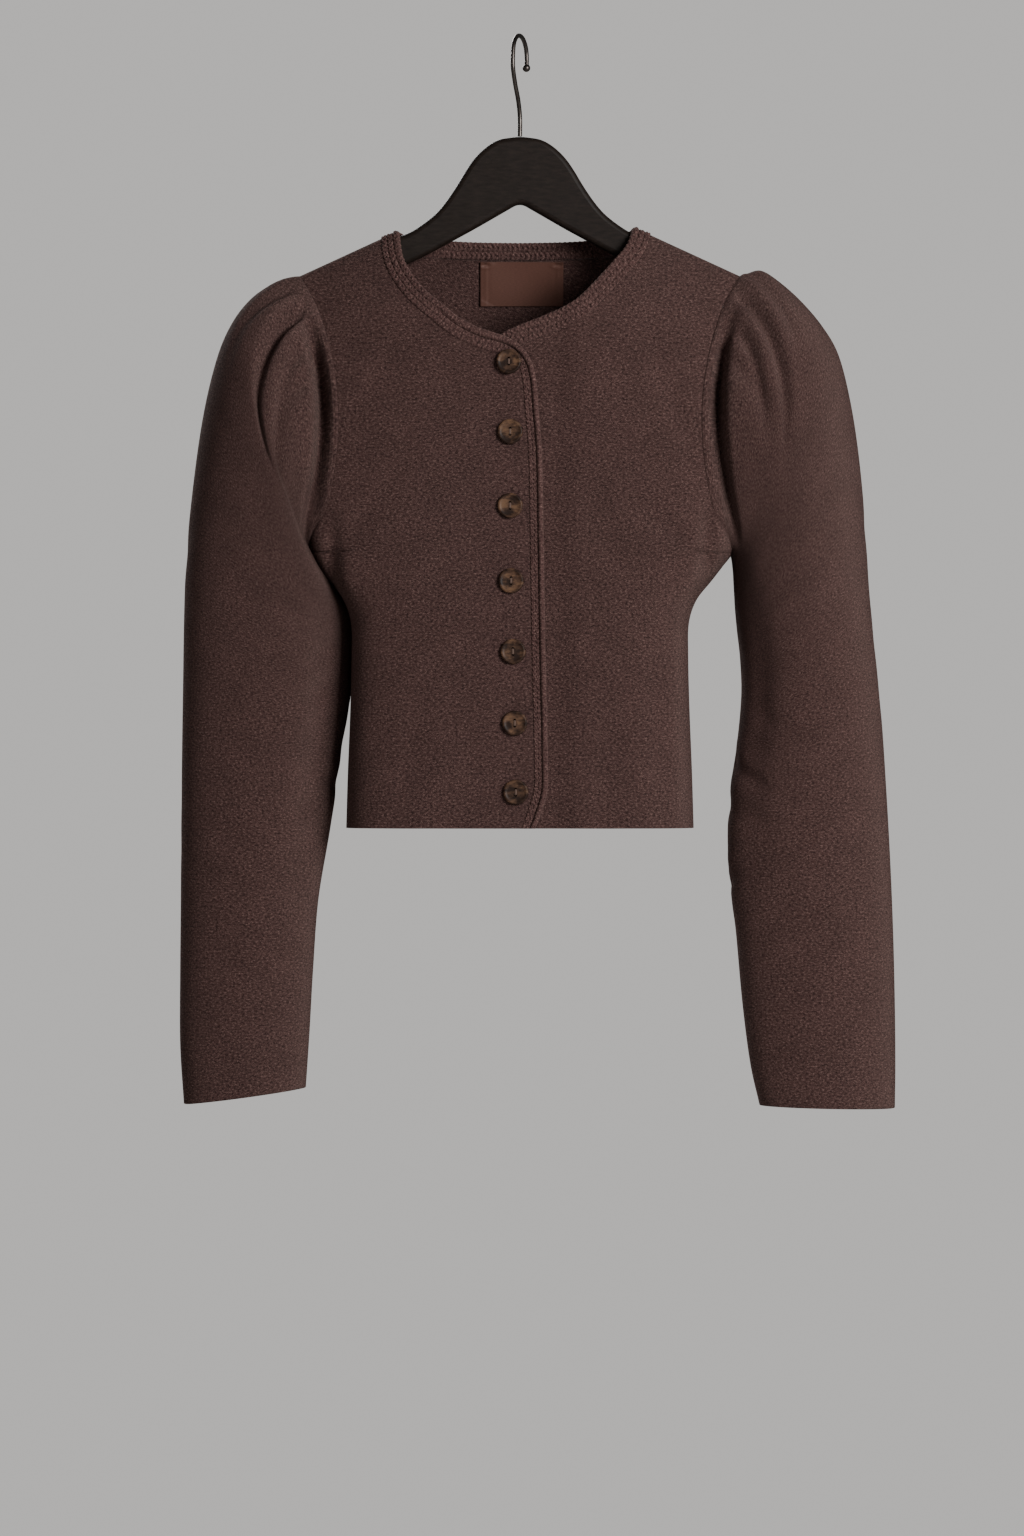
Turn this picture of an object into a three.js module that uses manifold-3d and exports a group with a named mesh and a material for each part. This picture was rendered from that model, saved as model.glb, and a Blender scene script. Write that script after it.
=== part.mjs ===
// Cropped knitted cardigan with puffed sleeves, buttoned up on a wooden clothes hanger.
// Millimetres, +Z up, the front faces -Y. The origin is the inside top of the hook.
import * as THREE from 'three';
import { mergeVertices } from 'three/addons/utils/BufferGeometryUtils.js';
import Module from 'manifold-3d';

const wasm = await Module();
wasm.setup();

// Driving sizes of the cloth
const WALL = 2.4;
const SEAM_GAP = 0.3;
const HEM_Z = -600;
const UNDERARM_Z = -392;
const SHOULDER_POINT = { q: 167, z: -181 };
const SHOULDER_SLOPE = 0.46;
const RIDGE_ROUND = 60;
const CREST_RADIUS = 8.9;
const CREST_FADE = 40;
const SHOULDER_RUN = 60;

// Driving sizes of the bands, the lap and the label
const NECKBAND_WIDTH = 14;
const FRONT_BAND_WIDTH = 10;
const BACK_BAND_WIDTH = 12;
const RIDGE_HEIGHT = 0.9;
const LAP_SINK = 3.9;
const LAP_FLAT_TO = 24;
const LAP_BLEND_TO = 46;
const PLEAT_START = 17;
const PLEAT_TURN_END = 84;
const CHANNEL = { at: 15, width: 7.5, front: 14.5, back: 11, from: 30, to: 152, blend: 24 };
const LABEL = { left: -30, right: 33, top: -167, bottom: -200, thick: 0.8 };

// Driving sizes of the buttons
const BUTTON = { radius: 9.4, thick: 3, rim: 1.1, dish: 0.5, holeRadius: 1, holeOffset: 2.2 };

// Driving sizes of the hanger and its hook
const HANGER = { thick: 11, bevel: 4, end: 158, drop: 3.4 };
const HOOK = { radius: 1.7, bend: 14.5, turn: 0.36, foot: -74.7, tip: -21, ball: 3 };

// Body sections from hem (level -1) past the underarm (level 0) to the shoulder (level 1)
const BODY = [
  { level: -1, half: 131.5, depth: 67, power: 4.2 },
  { level: -0.8, half: 130.3, depth: 64.8, power: 4.2 },
  { level: -0.55, half: 128.3, depth: 61.8, power: 4.2 },
  { level: -0.36, half: 127.5, depth: 59.4, power: 4.1 },
  { level: -0.25, half: 128.2, depth: 57.9, power: 4 },
  { level: -0.17, half: 134, depth: 56.8, power: 3.9 },
  { level: -0.1, half: 145.5, depth: 55.9, power: 3.8 },
  { level: -0.05, half: 153.5, depth: 55.2, power: 3.8 },
  { level: 0, half: 161, depth: 54.6, power: 3.8 },
  { level: 0.1, half: 164.5, depth: 53.5, power: 3.8 },
  { level: 0.3, half: 168, depth: 52.2, power: 3.9 },
  { level: 1, half: 172, depth: 51, power: 4 },
];

// Half width of the armhole seam, from the underarm up to the shoulder point
const ARMHOLE = [
  { level: 0, half: 161 },
  { level: 0.065, half: 155 },
  { level: 0.15, half: 145 },
  { level: 0.28, half: 139 },
  { level: 0.4, half: 136.5 },
  { level: 0.52, half: 137 },
  { level: 0.65, half: 141 },
  { level: 0.77, half: 147.5 },
  { level: 0.87, half: 154.5 },
  { level: 1, half: SHOULDER_POINT.q },
];

// Free edge of the right front, in its own direction outwards from the centre line: neck, corner, lap
const RIGHT_EDGE = [
  { q: 92.7, z: -146.8 },
  { q: 89, z: -168 },
  { q: 82, z: -182 },
  { q: 71.4, z: -195 },
  { q: 58.5, z: -206 },
  { q: 45.6, z: -216.6 },
  { q: 32, z: -224 },
  { q: 19, z: -228.5 },
  { q: 8, z: -232.5 },
  { q: -1, z: -239 },
  { q: -8, z: -249 },
  { q: -11.5, z: -262 },
  { q: -13.5, z: -285 },
  { q: -16, z: -317 },
  { q: -17.5, z: -394 },
  { q: -18.5, z: -460 },
  { q: -20.3, z: -549 },
  { q: -20, z: -572 },
  { q: -16, z: -587 },
  { q: -11, z: HEM_Z },
];

// Free edge of the left front, which runs on under the right one
const LEFT_EDGE = [
  { q: 86.6, z: -144 },
  { q: 81.5, z: -158 },
  { q: 70, z: -173 },
  { q: 56, z: -189 },
  { q: 44, z: -201 },
  { q: 32.7, z: -208 },
  { q: 17.5, z: -215 },
  { q: 0, z: -222 },
  { q: -14, z: -229 },
  { q: -22, z: -238 },
  { q: -25, z: -252 },
  { q: -26, z: -285 },
  { q: -26, z: -394 },
  { q: -26, z: HEM_Z },
];

// Back neck edge, from a shoulder to the centre
const BACK_EDGE = [
  { side: -1, q: 92.7, z: -146.8 },
  { side: -1, q: 85, z: -150 },
  { side: -1, q: 72, z: -151.2 },
  { side: -1, q: 40, z: -152.6 },
  { side: -1, q: 0, z: -153 },
  { side: 1, q: 0, z: -153 },
  { side: 1, q: 40, z: -152.4 },
  { side: 1, q: 67, z: -150.8 },
  { side: 1, q: 79, z: -149 },
  { side: 1, q: 86.6, z: -144 },
];

// Rings of the sleeves: outer and inner point in front view, half depth, and the share of free form
const RIGHT_SLEEVE = [
  { outX: 173, outZ: -181.5, inX: 160.9, inZ: -394.2, depth: 56, free: 0.25 },
  { outX: 181, outZ: -183.5, inX: 160.7, inZ: -396, depth: 60, free: 0.5 },
  { outX: 191, outZ: -188.5, inX: 160.2, inZ: -398, depth: 61.5, free: 0.72 },
  { outX: 204, outZ: -198, inX: 159.5, inZ: -400.5, depth: 62.5, free: 0.88 },
  { outX: 216, outZ: -212.5, inX: 158, inZ: -404, depth: 62.5, free: 1 },
  { outX: 226.5, outZ: -233, inX: 150.2, inZ: -409, depth: 61.5, free: 1 },
  { outX: 235, outZ: -261, inX: 143.9, inZ: -416, depth: 60, free: 1 },
  { outX: 242, outZ: -295, inX: 136.4, inZ: -425, depth: 57.5, free: 1 },
  { outX: 248, outZ: -338, inX: 130.6, inZ: -437, depth: 54.5, free: 1 },
  { outX: 252.5, outZ: -384, inX: 128.5, inZ: -453, depth: 50, free: 1 },
  { outX: 255, outZ: -434, inX: 128.5, inZ: -474, depth: 48, free: 1 },
  { outX: 256, outZ: -490, inX: 129.6, inZ: -504, depth: 46, free: 1 },
  { outX: 256.8, outZ: -545, inX: 136.5, inZ: -547, depth: 43, free: 1 },
  { outX: 257.3, outZ: -600, inX: 144, inZ: -600, depth: 41, free: 1 },
  { outX: 257.7, outZ: -655, inX: 153, inZ: -654, depth: 38, free: 1 },
  { outX: 258.2, outZ: -710, inX: 157, inZ: -706, depth: 35, free: 1 },
  { outX: 258.2, outZ: -764, inX: 159.8, inZ: -755, depth: 33, free: 1 },
  { outX: 255.4, outZ: -809.4, inX: 162.6, inZ: -797, depth: 31, free: 1 },
];

const LEFT_SLEEVE = [
  { outX: 173, outZ: -177.5, inX: 160.9, inZ: -394.2, depth: 57, free: 0.25 },
  { outX: 183, outZ: -176.5, inX: 161, inZ: -396.2, depth: 61, free: 0.5 },
  { outX: 196, outZ: -184.5, inX: 161.3, inZ: -399, depth: 63, free: 0.72 },
  { outX: 213, outZ: -199.5, inX: 161.6, inZ: -402.5, depth: 64, free: 0.88 },
  { outX: 229.5, outZ: -219, inX: 162, inZ: -407.5, depth: 64, free: 1 },
  { outX: 242, outZ: -241, inX: 162.3, inZ: -414, depth: 62.5, free: 1 },
  { outX: 251, outZ: -276, inX: 162.8, inZ: -423, depth: 61, free: 1 },
  { outX: 257.5, outZ: -318, inX: 163.5, inZ: -435, depth: 58.5, free: 1 },
  { outX: 262, outZ: -368, inX: 165, inZ: -451, depth: 55.5, free: 1 },
  { outX: 265, outZ: -416, inX: 167.3, inZ: -472, depth: 51, free: 1 },
  { outX: 270, outZ: -468, inX: 168.2, inZ: -500, depth: 48, free: 1 },
  { outX: 275, outZ: -520, inX: 165, inZ: -536, depth: 46, free: 1 },
  { outX: 278.5, outZ: -572, inX: 160, inZ: -574, depth: 43.5, free: 1 },
  { outX: 281.5, outZ: -626, inX: 158.3, inZ: -624, depth: 41, free: 1 },
  { outX: 283.7, outZ: -680, inX: 164, inZ: -678, depth: 38, free: 1 },
  { outX: 285, outZ: -735, inX: 169, inZ: -733, depth: 35.5, free: 1 },
  { outX: 285.4, outZ: -780, inX: 175, inZ: -779, depth: 33.5, free: 1 },
  { outX: 285, outZ: -812.4, inX: 182, inZ: -810.5, depth: 32, free: 1 },
];

// Pleats of the sleeve heads: angle at the seam from the top (front is plus) and how it turns for each mm,
// depth, half width in degrees, and reach from the seam
const RIGHT_PLEATS = [
  { angle: 10, turn: 0.3, depth: 5, width: 6, reach: 100 },
  { angle: 22, turn: 0.78, depth: 13, width: 6, reach: 108 },
  { angle: 42, turn: 0.95, depth: 6, width: 6, reach: 60 },
  { angle: 62, turn: 0.6, depth: 4.5, width: 6.5, reach: 80 },
  { angle: -12, turn: -0.35, depth: 6, width: 6, reach: 95 },
  { angle: -28, turn: -0.7, depth: 10.5, width: 6.5, reach: 104 },
  { angle: -47, turn: -0.85, depth: 6, width: 6, reach: 70 },
  { angle: -66, turn: -0.5, depth: 4.5, width: 6.5, reach: 85 },
];

const LEFT_PLEATS = [
  { angle: -3, turn: 0.75, depth: 5, width: 5.5, reach: 75 },
  { angle: 15, turn: 0.85, depth: 10.5, width: 6.5, reach: 105 },
  { angle: 34, turn: 1, depth: 7, width: 6, reach: 60 },
  { angle: 58, turn: 0.5, depth: 4.5, width: 6.5, reach: 90 },
  { angle: -18, turn: -0.3, depth: 5.5, width: 6, reach: 85 },
  { angle: -31, turn: -0.75, depth: 9.5, width: 6.5, reach: 120 },
  { angle: -50, turn: -0.8, depth: 6, width: 6, reach: 75 },
  { angle: -68, turn: -0.45, depth: 4.5, width: 6.5, reach: 80 },
];

// Button centres on the right front and how far each stands off it, the top one over the neckband's ridges
const BUTTON_PLACES = [
  { x: -8.4, z: -250.5, lift: 1.6 },
  { x: -7.4, z: -303, lift: 0.6 },
  { x: -7.4, z: -358.5, lift: 0.6 },
  { x: -6.7, z: -415, lift: 0.6 },
  { x: -5.3, z: -468, lift: 0.6 },
  { x: -4, z: -521.5, lift: 0.6 },
  { x: -3.2, z: -573, lift: 0.6 },
];

// Half outline of the hanger: over the hump and out along the arm, then back along the underside
const HANGER_TOP = [
  { x: 0, z: -75 },
  { x: 16, z: -77 },
  { x: 25.5, z: -82.5 },
  { x: 34.6, z: -91.2 },
  { x: 41.3, z: -101 },
  { x: 48, z: -112.5 },
  { x: 55.7, z: -124 },
  { x: 63.5, z: -133.5 },
  { x: 73, z: -141.2 },
  { x: 84, z: -148.4 },
];
const HANGER_UNDERSIDE = [
  { x: 150, z: -201 },
  { x: 110, z: -183.5 },
  { x: 72, z: -165.7 },
  { x: 34, z: -145 },
];
const HANGER_NOTCH_Z = -125.4;

// Grid rows and columns
const LOWER_LEVELS = [-1, -0.8, -0.55, -0.36, -0.25, -0.17, -0.1, -0.05];
const ARMHOLE_LEVELS = [0, 0.06, 0.13, 0.22, 0.32, 0.42, 0.52, 0.62, 0.72, 0.81, 0.88];
const CREST_LEVELS = [0.94, 0.968, 0.987, 0.996, 1];
const NECK_ROWS = 8;
const FRONT_COLUMNS = [0, 0.12, 0.25, 0.38, 0.5, 0.6, 0.68, 0.76, 0.84, 0.92, 1];
const BACK_SHOULDER_COLUMNS = 4;
const BACK_NECK_SHARES = [0, 0.012, 0.035, 0.07, 0.125, 0.25, 0.45, 0.7, 1];
const SLEEVE_HALF_SEGMENTS = 26;
const FINE_STEPS = 240;
const FLAT_SHARE = 0.96;
const NORMAL_STEP = 1.5;

const OUTWARDS = new THREE.Vector3(1, 0, 0);
const DOWNWARDS = new THREE.Vector3(0, 0, -1);
const lerp = THREE.MathUtils.lerp;
const clamp = THREE.MathUtils.clamp;
const smooth = (t) => THREE.MathUtils.smoothstep(t, 0, 1);
const signedPower = (value, power) => Math.sign(value) * Math.abs(value) ** power;

// One column of a table at a place along its key, with a smooth curve between the rows.
function read(table, key, at, column) {
  const last = table.length - 1;
  const place = clamp(at, table[0][key], table[last][key]);
  let i = 0;
  while (i < last - 1 && table[i + 1][key] < place) i += 1;
  const slope = (j) => {
    const before = table[Math.max(j - 1, 0)];
    const after = table[Math.min(j + 1, last)];
    return (after[column] - before[column]) / (after[key] - before[key]);
  };
  const span = table[i + 1][key] - table[i][key];
  const t = (place - table[i][key]) / span;
  const rise = t * t * (3 - 2 * t);
  const leave = t * (1 - t) * (1 - t) * span * slope(i);
  const arrive = t * t * (t - 1) * span * slope(i + 1);
  return lerp(table[i][column], table[i + 1][column], rise) + leave + arrive;
}

// Height of the shoulder line over a distance from the centre, rounded over across the neck.
function ridge(q) {
  const far = Math.abs(q);
  const out = far < RIDGE_ROUND ? (far * far) / (2 * RIDGE_ROUND) + RIDGE_ROUND / 2 : far;
  return SHOULDER_POINT.z + SHOULDER_SLOPE * (SHOULDER_POINT.q - out);
}

function heightOf(q, level) {
  if (level <= 0) return lerp(HEM_Z, UNDERARM_Z, level + 1);
  return lerp(UNDERARM_Z, ridge(q), level);
}

function levelOf(q, z) {
  if (z <= UNDERARM_Z) return (z - HEM_Z) / (UNDERARM_Z - HEM_Z) - 1;
  return (z - UNDERARM_Z) / (ridge(q) - UNDERARM_Z);
}

// Half depth of the body at a distance from the centre and a level.
function depthOf(q, level) {
  const half = read(BODY, 'level', level, 'half');
  const power = read(BODY, 'level', level, 'power');
  const share = clamp(1 - (Math.abs(q) / half) ** power, 0, 1) ** (1 / power);
  const below = Math.max(ridge(q) - heightOf(q, level), 0);
  const roll = CREST_RADIUS * Math.sqrt(1 - (1 - Math.min(below / CREST_RADIUS, 1)) ** 2);
  const near = Math.exp(-below / CREST_FADE);
  const run = 1 - Math.exp(-Math.max(below - CREST_RADIUS / 2, 0) / SHOULDER_RUN);
  return roll * (near + (1 - near) * share) + read(BODY, 'level', level, 'depth') * run * share;
}

// Inward direction of the body's flat faces, or nothing near its sides.
function inwardOf(side, face, q, level) {
  if (Math.abs(q) > FLAT_SHARE * read(BODY, 'level', level, 'half')) return undefined;
  const z = heightOf(q, level);
  const at = (dq, dz) => depthOf(q + dq, Math.min(levelOf(q + dq, z + dz), 1));
  const alongQ = (at(NORMAL_STEP, 0) - at(-NORMAL_STEP, 0)) / (2 * NORMAL_STEP);
  const alongZ = (at(0, NORMAL_STEP) - at(0, -NORMAL_STEP)) / (2 * NORMAL_STEP);
  return new THREE.Vector3(side * alongQ, -face, alongZ).normalize();
}

// A point of the body. side is -1 for the wearer's right, face is -1 for the front, sink moves it inwards.
function bodyPoint(side, face, q, level, sink = 0) {
  const depth = depthOf(q, level) + SEAM_GAP / 2 - sink;
  const point = new THREE.Vector3(side * q, face * depth, heightOf(q, level));
  point.inward = inwardOf(side, face, q, level);
  return point;
}

function angleOf(q, level) {
  const half = read(BODY, 'level', level, 'half');
  const power = read(BODY, 'level', level, 'power');
  return Math.asin(clamp(signedPower(q / half, power / 2), -1, 1));
}

function distanceOf(angle, level) {
  const half = read(BODY, 'level', level, 'half');
  const power = read(BODY, 'level', level, 'power');
  return half * signedPower(Math.sin(angle), 2 / power);
}

// Places along one row of a panel, at the given shares of its length.
function rowPlaces(start, end, shares) {
  const from = angleOf(start.q, start.level);
  const to = angleOf(end.q, end.level);
  const fine = [];
  let length = 0;
  for (let i = 0; i <= FINE_STEPS; i += 1) {
    const t = i / FINE_STEPS;
    const level = lerp(start.level, end.level, t);
    const angle = lerp(from, to, t);
    const point = bodyPoint(1, -1, distanceOf(angle, level), level);
    if (i > 0) length += point.distanceTo(fine[i - 1].point);
    fine.push({ point, angle, level, length });
  }
  return shares.map((share) => {
    const target = share * length;
    let i = 1;
    while (i < FINE_STEPS && fine[i].length < target) i += 1;
    const before = fine[i - 1];
    const t = clamp((target - before.length) / (fine[i].length - before.length), 0, 1);
    const level = lerp(before.level, fine[i].level, t);
    const angle = lerp(before.angle, fine[i].angle, t);
    return { q: distanceOf(angle, level), level };
  });
}

function armholeEnd(level) {
  return { q: read(ARMHOLE, 'level', level, 'half'), level };
}

function sideEnd(level) {
  return { q: read(BODY, 'level', level, 'half'), level };
}

// A free edge as a curve, with the seam of its band a width further into the cloth.
function edgeCurve(table, widthAt, hemWay) {
  const points = table.map((row) => new THREE.Vector3(row.q, 0, row.z));
  points[0].z = ridge(points[0].x);
  const curve = new THREE.CatmullRomCurve3(points, false, 'centripetal');
  const length = curve.getLength();
  const ridgeWay = new THREE.Vector3(1, 0, -SHOULDER_SLOPE).normalize();
  const at = (t) => curve.getPointAt(clamp(t, 0, 1));
  const offset = (t, share) => {
    const tangent = curve.getTangentAt(clamp(t, 0, 1));
    const normal = new THREE.Vector3(-tangent.z, 0, tangent.x);
    const way = ridgeWay.clone().lerp(normal, smooth((t * length) / 28)).normalize();
    way.lerp(hemWay, smooth(1 - ((1 - t) * length) / 24)).normalize();
    const moved = at(t).addScaledVector(way, widthAt(t * length) * share);
    moved.z = Math.min(moved.z, ridge(moved.x));
    return moved;
  };
  const whereLevel = (level) => {
    let low = 0;
    let high = 1;
    for (let i = 0; i < 40; i += 1) {
      const middle = (low + high) / 2;
      const point = at(middle);
      if (levelOf(point.x, point.z) > level) low = middle;
      else high = middle;
    }
    return (low + high) / 2;
  };
  return { at, offset, whereLevel, length };
}

// Closed wall from a grid of outer points: its inner face lies WALL further in, and relief raises its outer one.
function wall(rows, centreOf, options = {}) {
  const thick = options.thick ?? WALL;
  const relief = options.relief ?? (() => 0);
  const wrap = options.wrap ?? false;
  const seamPlane = options.seamPlane ?? false;
  const rowCount = rows.length;
  const columnCount = rows[0].length;
  const outer = [];
  const inner = [];
  const normalAt = (i, j) => {
    const before = wrap ? (j + columnCount - 1) % columnCount : Math.max(j - 1, 0);
    const after = wrap ? (j + 1) % columnCount : Math.min(j + 1, columnCount - 1);
    const along = rows[i][after].clone().sub(rows[i][before]);
    const across = rows[Math.min(i + 1, rowCount - 1)][j].clone().sub(rows[Math.max(i - 1, 0)][j]);
    return along.cross(across).normalize();
  };
  let facing = 0;
  rows.forEach((row, i) => row.forEach((point, j) => {
    facing += normalAt(i, j).dot(centreOf(point, i).sub(point).normalize());
  }));
  for (let i = 0; i < rowCount; i += 1) {
    for (let j = 0; j < columnCount; j += 1) {
      const point = rows[i][j];
      const inward = point.inward?.clone() ?? normalAt(i, j).multiplyScalar(Math.sign(facing));
      if (point.inward && inward.dot(centreOf(point, i).sub(point)) < 0) inward.negate();
      if (seamPlane && Math.abs(point.y) < SEAM_GAP) inward.setY(0).normalize();
      outer.push(point.clone().addScaledVector(inward, -relief(i, j)));
      inner.push(point.clone().addScaledVector(inward, thick));
    }
  }
  const triangles = [];
  const innerStart = outer.length;
  const quad = (a, b, c, d) => triangles.push(a, b, c, a, c, d);
  const columnSteps = wrap ? columnCount : columnCount - 1;
  const id = (i, j) => i * columnCount + (j % columnCount);
  for (let i = 0; i < rowCount - 1; i += 1) {
    for (let j = 0; j < columnSteps; j += 1) {
      const corners = [id(i, j), id(i, j + 1), id(i + 1, j + 1), id(i + 1, j)];
      quad(...corners);
      quad(...corners.map((c) => c + innerStart).reverse());
    }
  }
  const rim = (a, b) => quad(b, a, a + innerStart, b + innerStart);
  for (let j = 0; j < columnSteps; j += 1) {
    rim(id(0, j), id(0, j + 1));
    rim(id(rowCount - 1, j + 1), id(rowCount - 1, j));
  }
  if (!wrap) {
    for (let i = 0; i < rowCount - 1; i += 1) {
      rim(id(i + 1, 0), id(i, 0));
      rim(id(i, columnCount - 1), id(i + 1, columnCount - 1));
    }
  }
  return solidGeometry([...outer, ...inner], triangles);
}

// Indexed geometry whose faces point outwards.
function solidGeometry(points, triangles) {
  let volume = 0;
  for (let i = 0; i < triangles.length; i += 3) {
    const [a, b, c] = triangles.slice(i, i + 3).map((k) => points[k]);
    volume += a.dot(b.clone().cross(c));
  }
  if (volume < 0) {
    for (let i = 0; i < triangles.length; i += 3) {
      [triangles[i], triangles[i + 1]] = [triangles[i + 1], triangles[i]];
    }
  }
  const geometry = new THREE.BufferGeometry();
  geometry.setAttribute('position', new THREE.Float32BufferAttribute(points.flatMap((p) => p.toArray()), 3));
  geometry.setIndex(triangles);
  geometry.computeVertexNormals();
  return geometry;
}

const bodyCentre = (point) => new THREE.Vector3(0, 0, point.z - 20);

// Starts of a front panel's rows along its free edge, from the hem up to the shoulder.
function frontStarts(edge, cornerLevel) {
  const crest = CREST_LEVELS.map(edge.whereLevel);
  const corner = edge.whereLevel(cornerLevel);
  const rows = LOWER_LEVELS.map(edge.whereLevel);
  const straightRows = ARMHOLE_LEVELS.length - NECK_ROWS;
  for (let i = 0; i < straightRows; i += 1) {
    rows.push(edge.whereLevel((cornerLevel * i) / straightRows));
  }
  for (let i = 0; i < NECK_ROWS; i += 1) rows.push(lerp(corner, crest[0], i / NECK_ROWS));
  rows.push(...crest);
  rows[0] = 1;
  rows[rows.length - 1] = 0;
  return rows;
}

// One front panel between the seam of its edge band and its side seam, armhole and shoulder.
function frontRows(side, edge, starts, seamShare, sinkAt) {
  const ends = [
    ...LOWER_LEVELS.map(sideEnd),
    ...ARMHOLE_LEVELS.map(armholeEnd),
    ...CREST_LEVELS.map(armholeEnd),
  ];
  return starts.map((t, i) => {
    const seam = edge.offset(t, seamShare(t));
    const start = { q: seam.x, level: i === 0 ? -1 : levelOf(seam.x, seam.z) };
    const places = rowPlaces(start, ends[i], FRONT_COLUMNS);
    return places.map((place) => bodyPoint(side, -1, place.q, place.level, sinkAt(side * place.q)));
  });
}

// Points of a band between a free edge and its seam.
function bandRows(side, face, edge, starts, shares, sinkAt = () => 0) {
  return starts.map((t) => shares.map((share) => {
    const flat = edge.offset(t, share);
    return bodyPoint(side, face, flat.x, levelOf(flat.x, flat.z), sinkAt(side * flat.x));
  }));
}

const lapSink = (x) => LAP_SINK * smooth((LAP_BLEND_TO - x) / (LAP_BLEND_TO - LAP_FLAT_TO));

function mesh(name, geometry, finish) {
  const made = new THREE.Mesh(geometry, new THREE.MeshStandardMaterial(finish));
  made.name = name;
  return made;
}

const WOOL = { color: 0x4a3734, roughness: 0.95, metalness: 0 };
const HORN = { color: 0x3a2820, roughness: 0.35, metalness: 0 };
const SATIN = { color: 0x5a3d30, roughness: 0.55, metalness: 0 };
const BLACK_WOOD = { color: 0x1d1a19, roughness: 0.5, metalness: 0 };
const DARK_STEEL = { color: 0x2c2928, roughness: 0.35, metalness: 0.9 };

const cardigan = new THREE.Group();

// Right front, its neckband and the band down its lap
const RIGHT_CORNER_LEVEL = 0.45;
const rightWidth = (run) => lerp(NECKBAND_WIDTH, FRONT_BAND_WIDTH, smooth((run - 110) / 50));
const rightEdge = edgeCurve(RIGHT_EDGE, rightWidth, OUTWARDS);
const rightStarts = frontStarts(rightEdge, RIGHT_CORNER_LEVEL);
const rightSeamShare = (t) => 1 + SEAM_GAP / rightWidth(t * rightEdge.length);
cardigan.add(mesh('front_right', wall(
  frontRows(-1, rightEdge, rightStarts, rightSeamShare, () => 0),
  bodyCentre,
  { seamPlane: true },
), WOOL));

const ridgeWave = (count, share) => RIDGE_HEIGHT * Math.sin(Math.PI * count * share) ** 2;
const NECK_SHARES = [0, 1 / 6, 2 / 6, 3 / 6, 4 / 6, 5 / 6, 1];
const LAP_SHARES = [0, 0.18, 0.36, 0.5, 0.68, 0.84, 1];
const LAP_RELIEF = [0.6, 1.4, 0.2, 0.9, 0.2, 0.9, 0];

const cornerRow = LOWER_LEVELS.length + ARMHOLE_LEVELS.length - NECK_ROWS;
const splitRow = cornerRow + 1;
const bandGap = SEAM_GAP / rightEdge.length;
const neckStarts = rightStarts.slice(splitRow);
const lapStarts = [...rightStarts.slice(0, splitRow), neckStarts[0] + bandGap];
cardigan.add(mesh('neckband_right', wall(
  bandRows(-1, -1, rightEdge, neckStarts, NECK_SHARES),
  bodyCentre,
  { seamPlane: true, relief: (i, j) => ridgeWave(3, NECK_SHARES[j]) },
), WOOL));
cardigan.add(mesh('front_band', wall(
  bandRows(-1, -1, rightEdge, lapStarts, LAP_SHARES),
  bodyCentre,
  { relief: (i, j) => LAP_RELIEF[j] },
), WOOL));

// Left front, which goes under the lap, and its neckband
const LEFT_CORNER_LEVEL = 0.47;
const leftWidth = () => NECKBAND_WIDTH;
const leftEdge = edgeCurve(LEFT_EDGE, leftWidth, OUTWARDS);
const leftStarts = frontStarts(leftEdge, LEFT_CORNER_LEVEL);
const leftBandEnd = LOWER_LEVELS.length + ARMHOLE_LEVELS.length - NECK_ROWS + 1;
const leftSeamShare = (t) => {
  const past = (t - leftStarts[leftBandEnd]) * leftEdge.length;
  return past > 0.01 ? 0 : 1 + SEAM_GAP / NECKBAND_WIDTH;
};
cardigan.add(mesh('front_left', wall(
  frontRows(1, leftEdge, leftStarts, leftSeamShare, lapSink),
  bodyCentre,
  { seamPlane: true },
), WOOL));
cardigan.add(mesh('neckband_left', wall(
  bandRows(1, -1, leftEdge, leftStarts.slice(leftBandEnd), NECK_SHARES, lapSink),
  bodyCentre,
  { seamPlane: true, relief: (i, j) => ridgeWave(3, NECK_SHARES[j]) },
), WOOL));

// Back neckband and back panel
const backWidth = () => BACK_BAND_WIDTH;
const backEdges = [-1, 1].map((side) => {
  const rows = BACK_EDGE.filter((row) => row.side === side);
  const ordered = side < 0 ? rows : rows.reverse();
  return { side, edge: edgeCurve(ordered, backWidth, DOWNWARDS) };
});

function backHalf(half, makeOne) {
  return BACK_NECK_SHARES.map((t) => makeOne(half, t));
}

const backBandHalves = backEdges.map((half) => backHalf(half, ({ side, edge }, t) => (
  NECK_SHARES.map((share) => {
    const flat = edge.offset(t, share);
    const q = t === 1 ? 0 : flat.x;
    return bodyPoint(side, 1, q, levelOf(q, flat.z));
  })
)));
const backBandRows = [...backBandHalves[0], ...backBandHalves[1].reverse().slice(1)];
cardigan.add(mesh('neckband_back', wall(
  backBandRows,
  bodyCentre,
  { seamPlane: true, relief: (i, j) => ridgeWave(2, NECK_SHARES[j]) },
), WOOL));

// Top of each column of the back: the shoulder line out to the armhole, then the neck seam in to the centre.
function backColumns({ side, edge }) {
  const seamShare = 1 + SEAM_GAP / BACK_BAND_WIDTH;
  const neck = BACK_NECK_SHARES.map((t) => {
    const flat = edge.offset(t, seamShare);
    return t === 1 ? { q: 0, level: levelOf(0, flat.z) } : { q: flat.x, level: levelOf(flat.x, flat.z) };
  });
  neck[0].level = 1;
  const shoulder = [];
  for (let i = BACK_SHOULDER_COLUMNS; i > 0; i -= 1) {
    shoulder.push({ q: lerp(neck[0].q, SHOULDER_POINT.q, i / BACK_SHOULDER_COLUMNS), level: 1 });
  }
  return { side, tops: [...shoulder, ...neck] };
}

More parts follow.
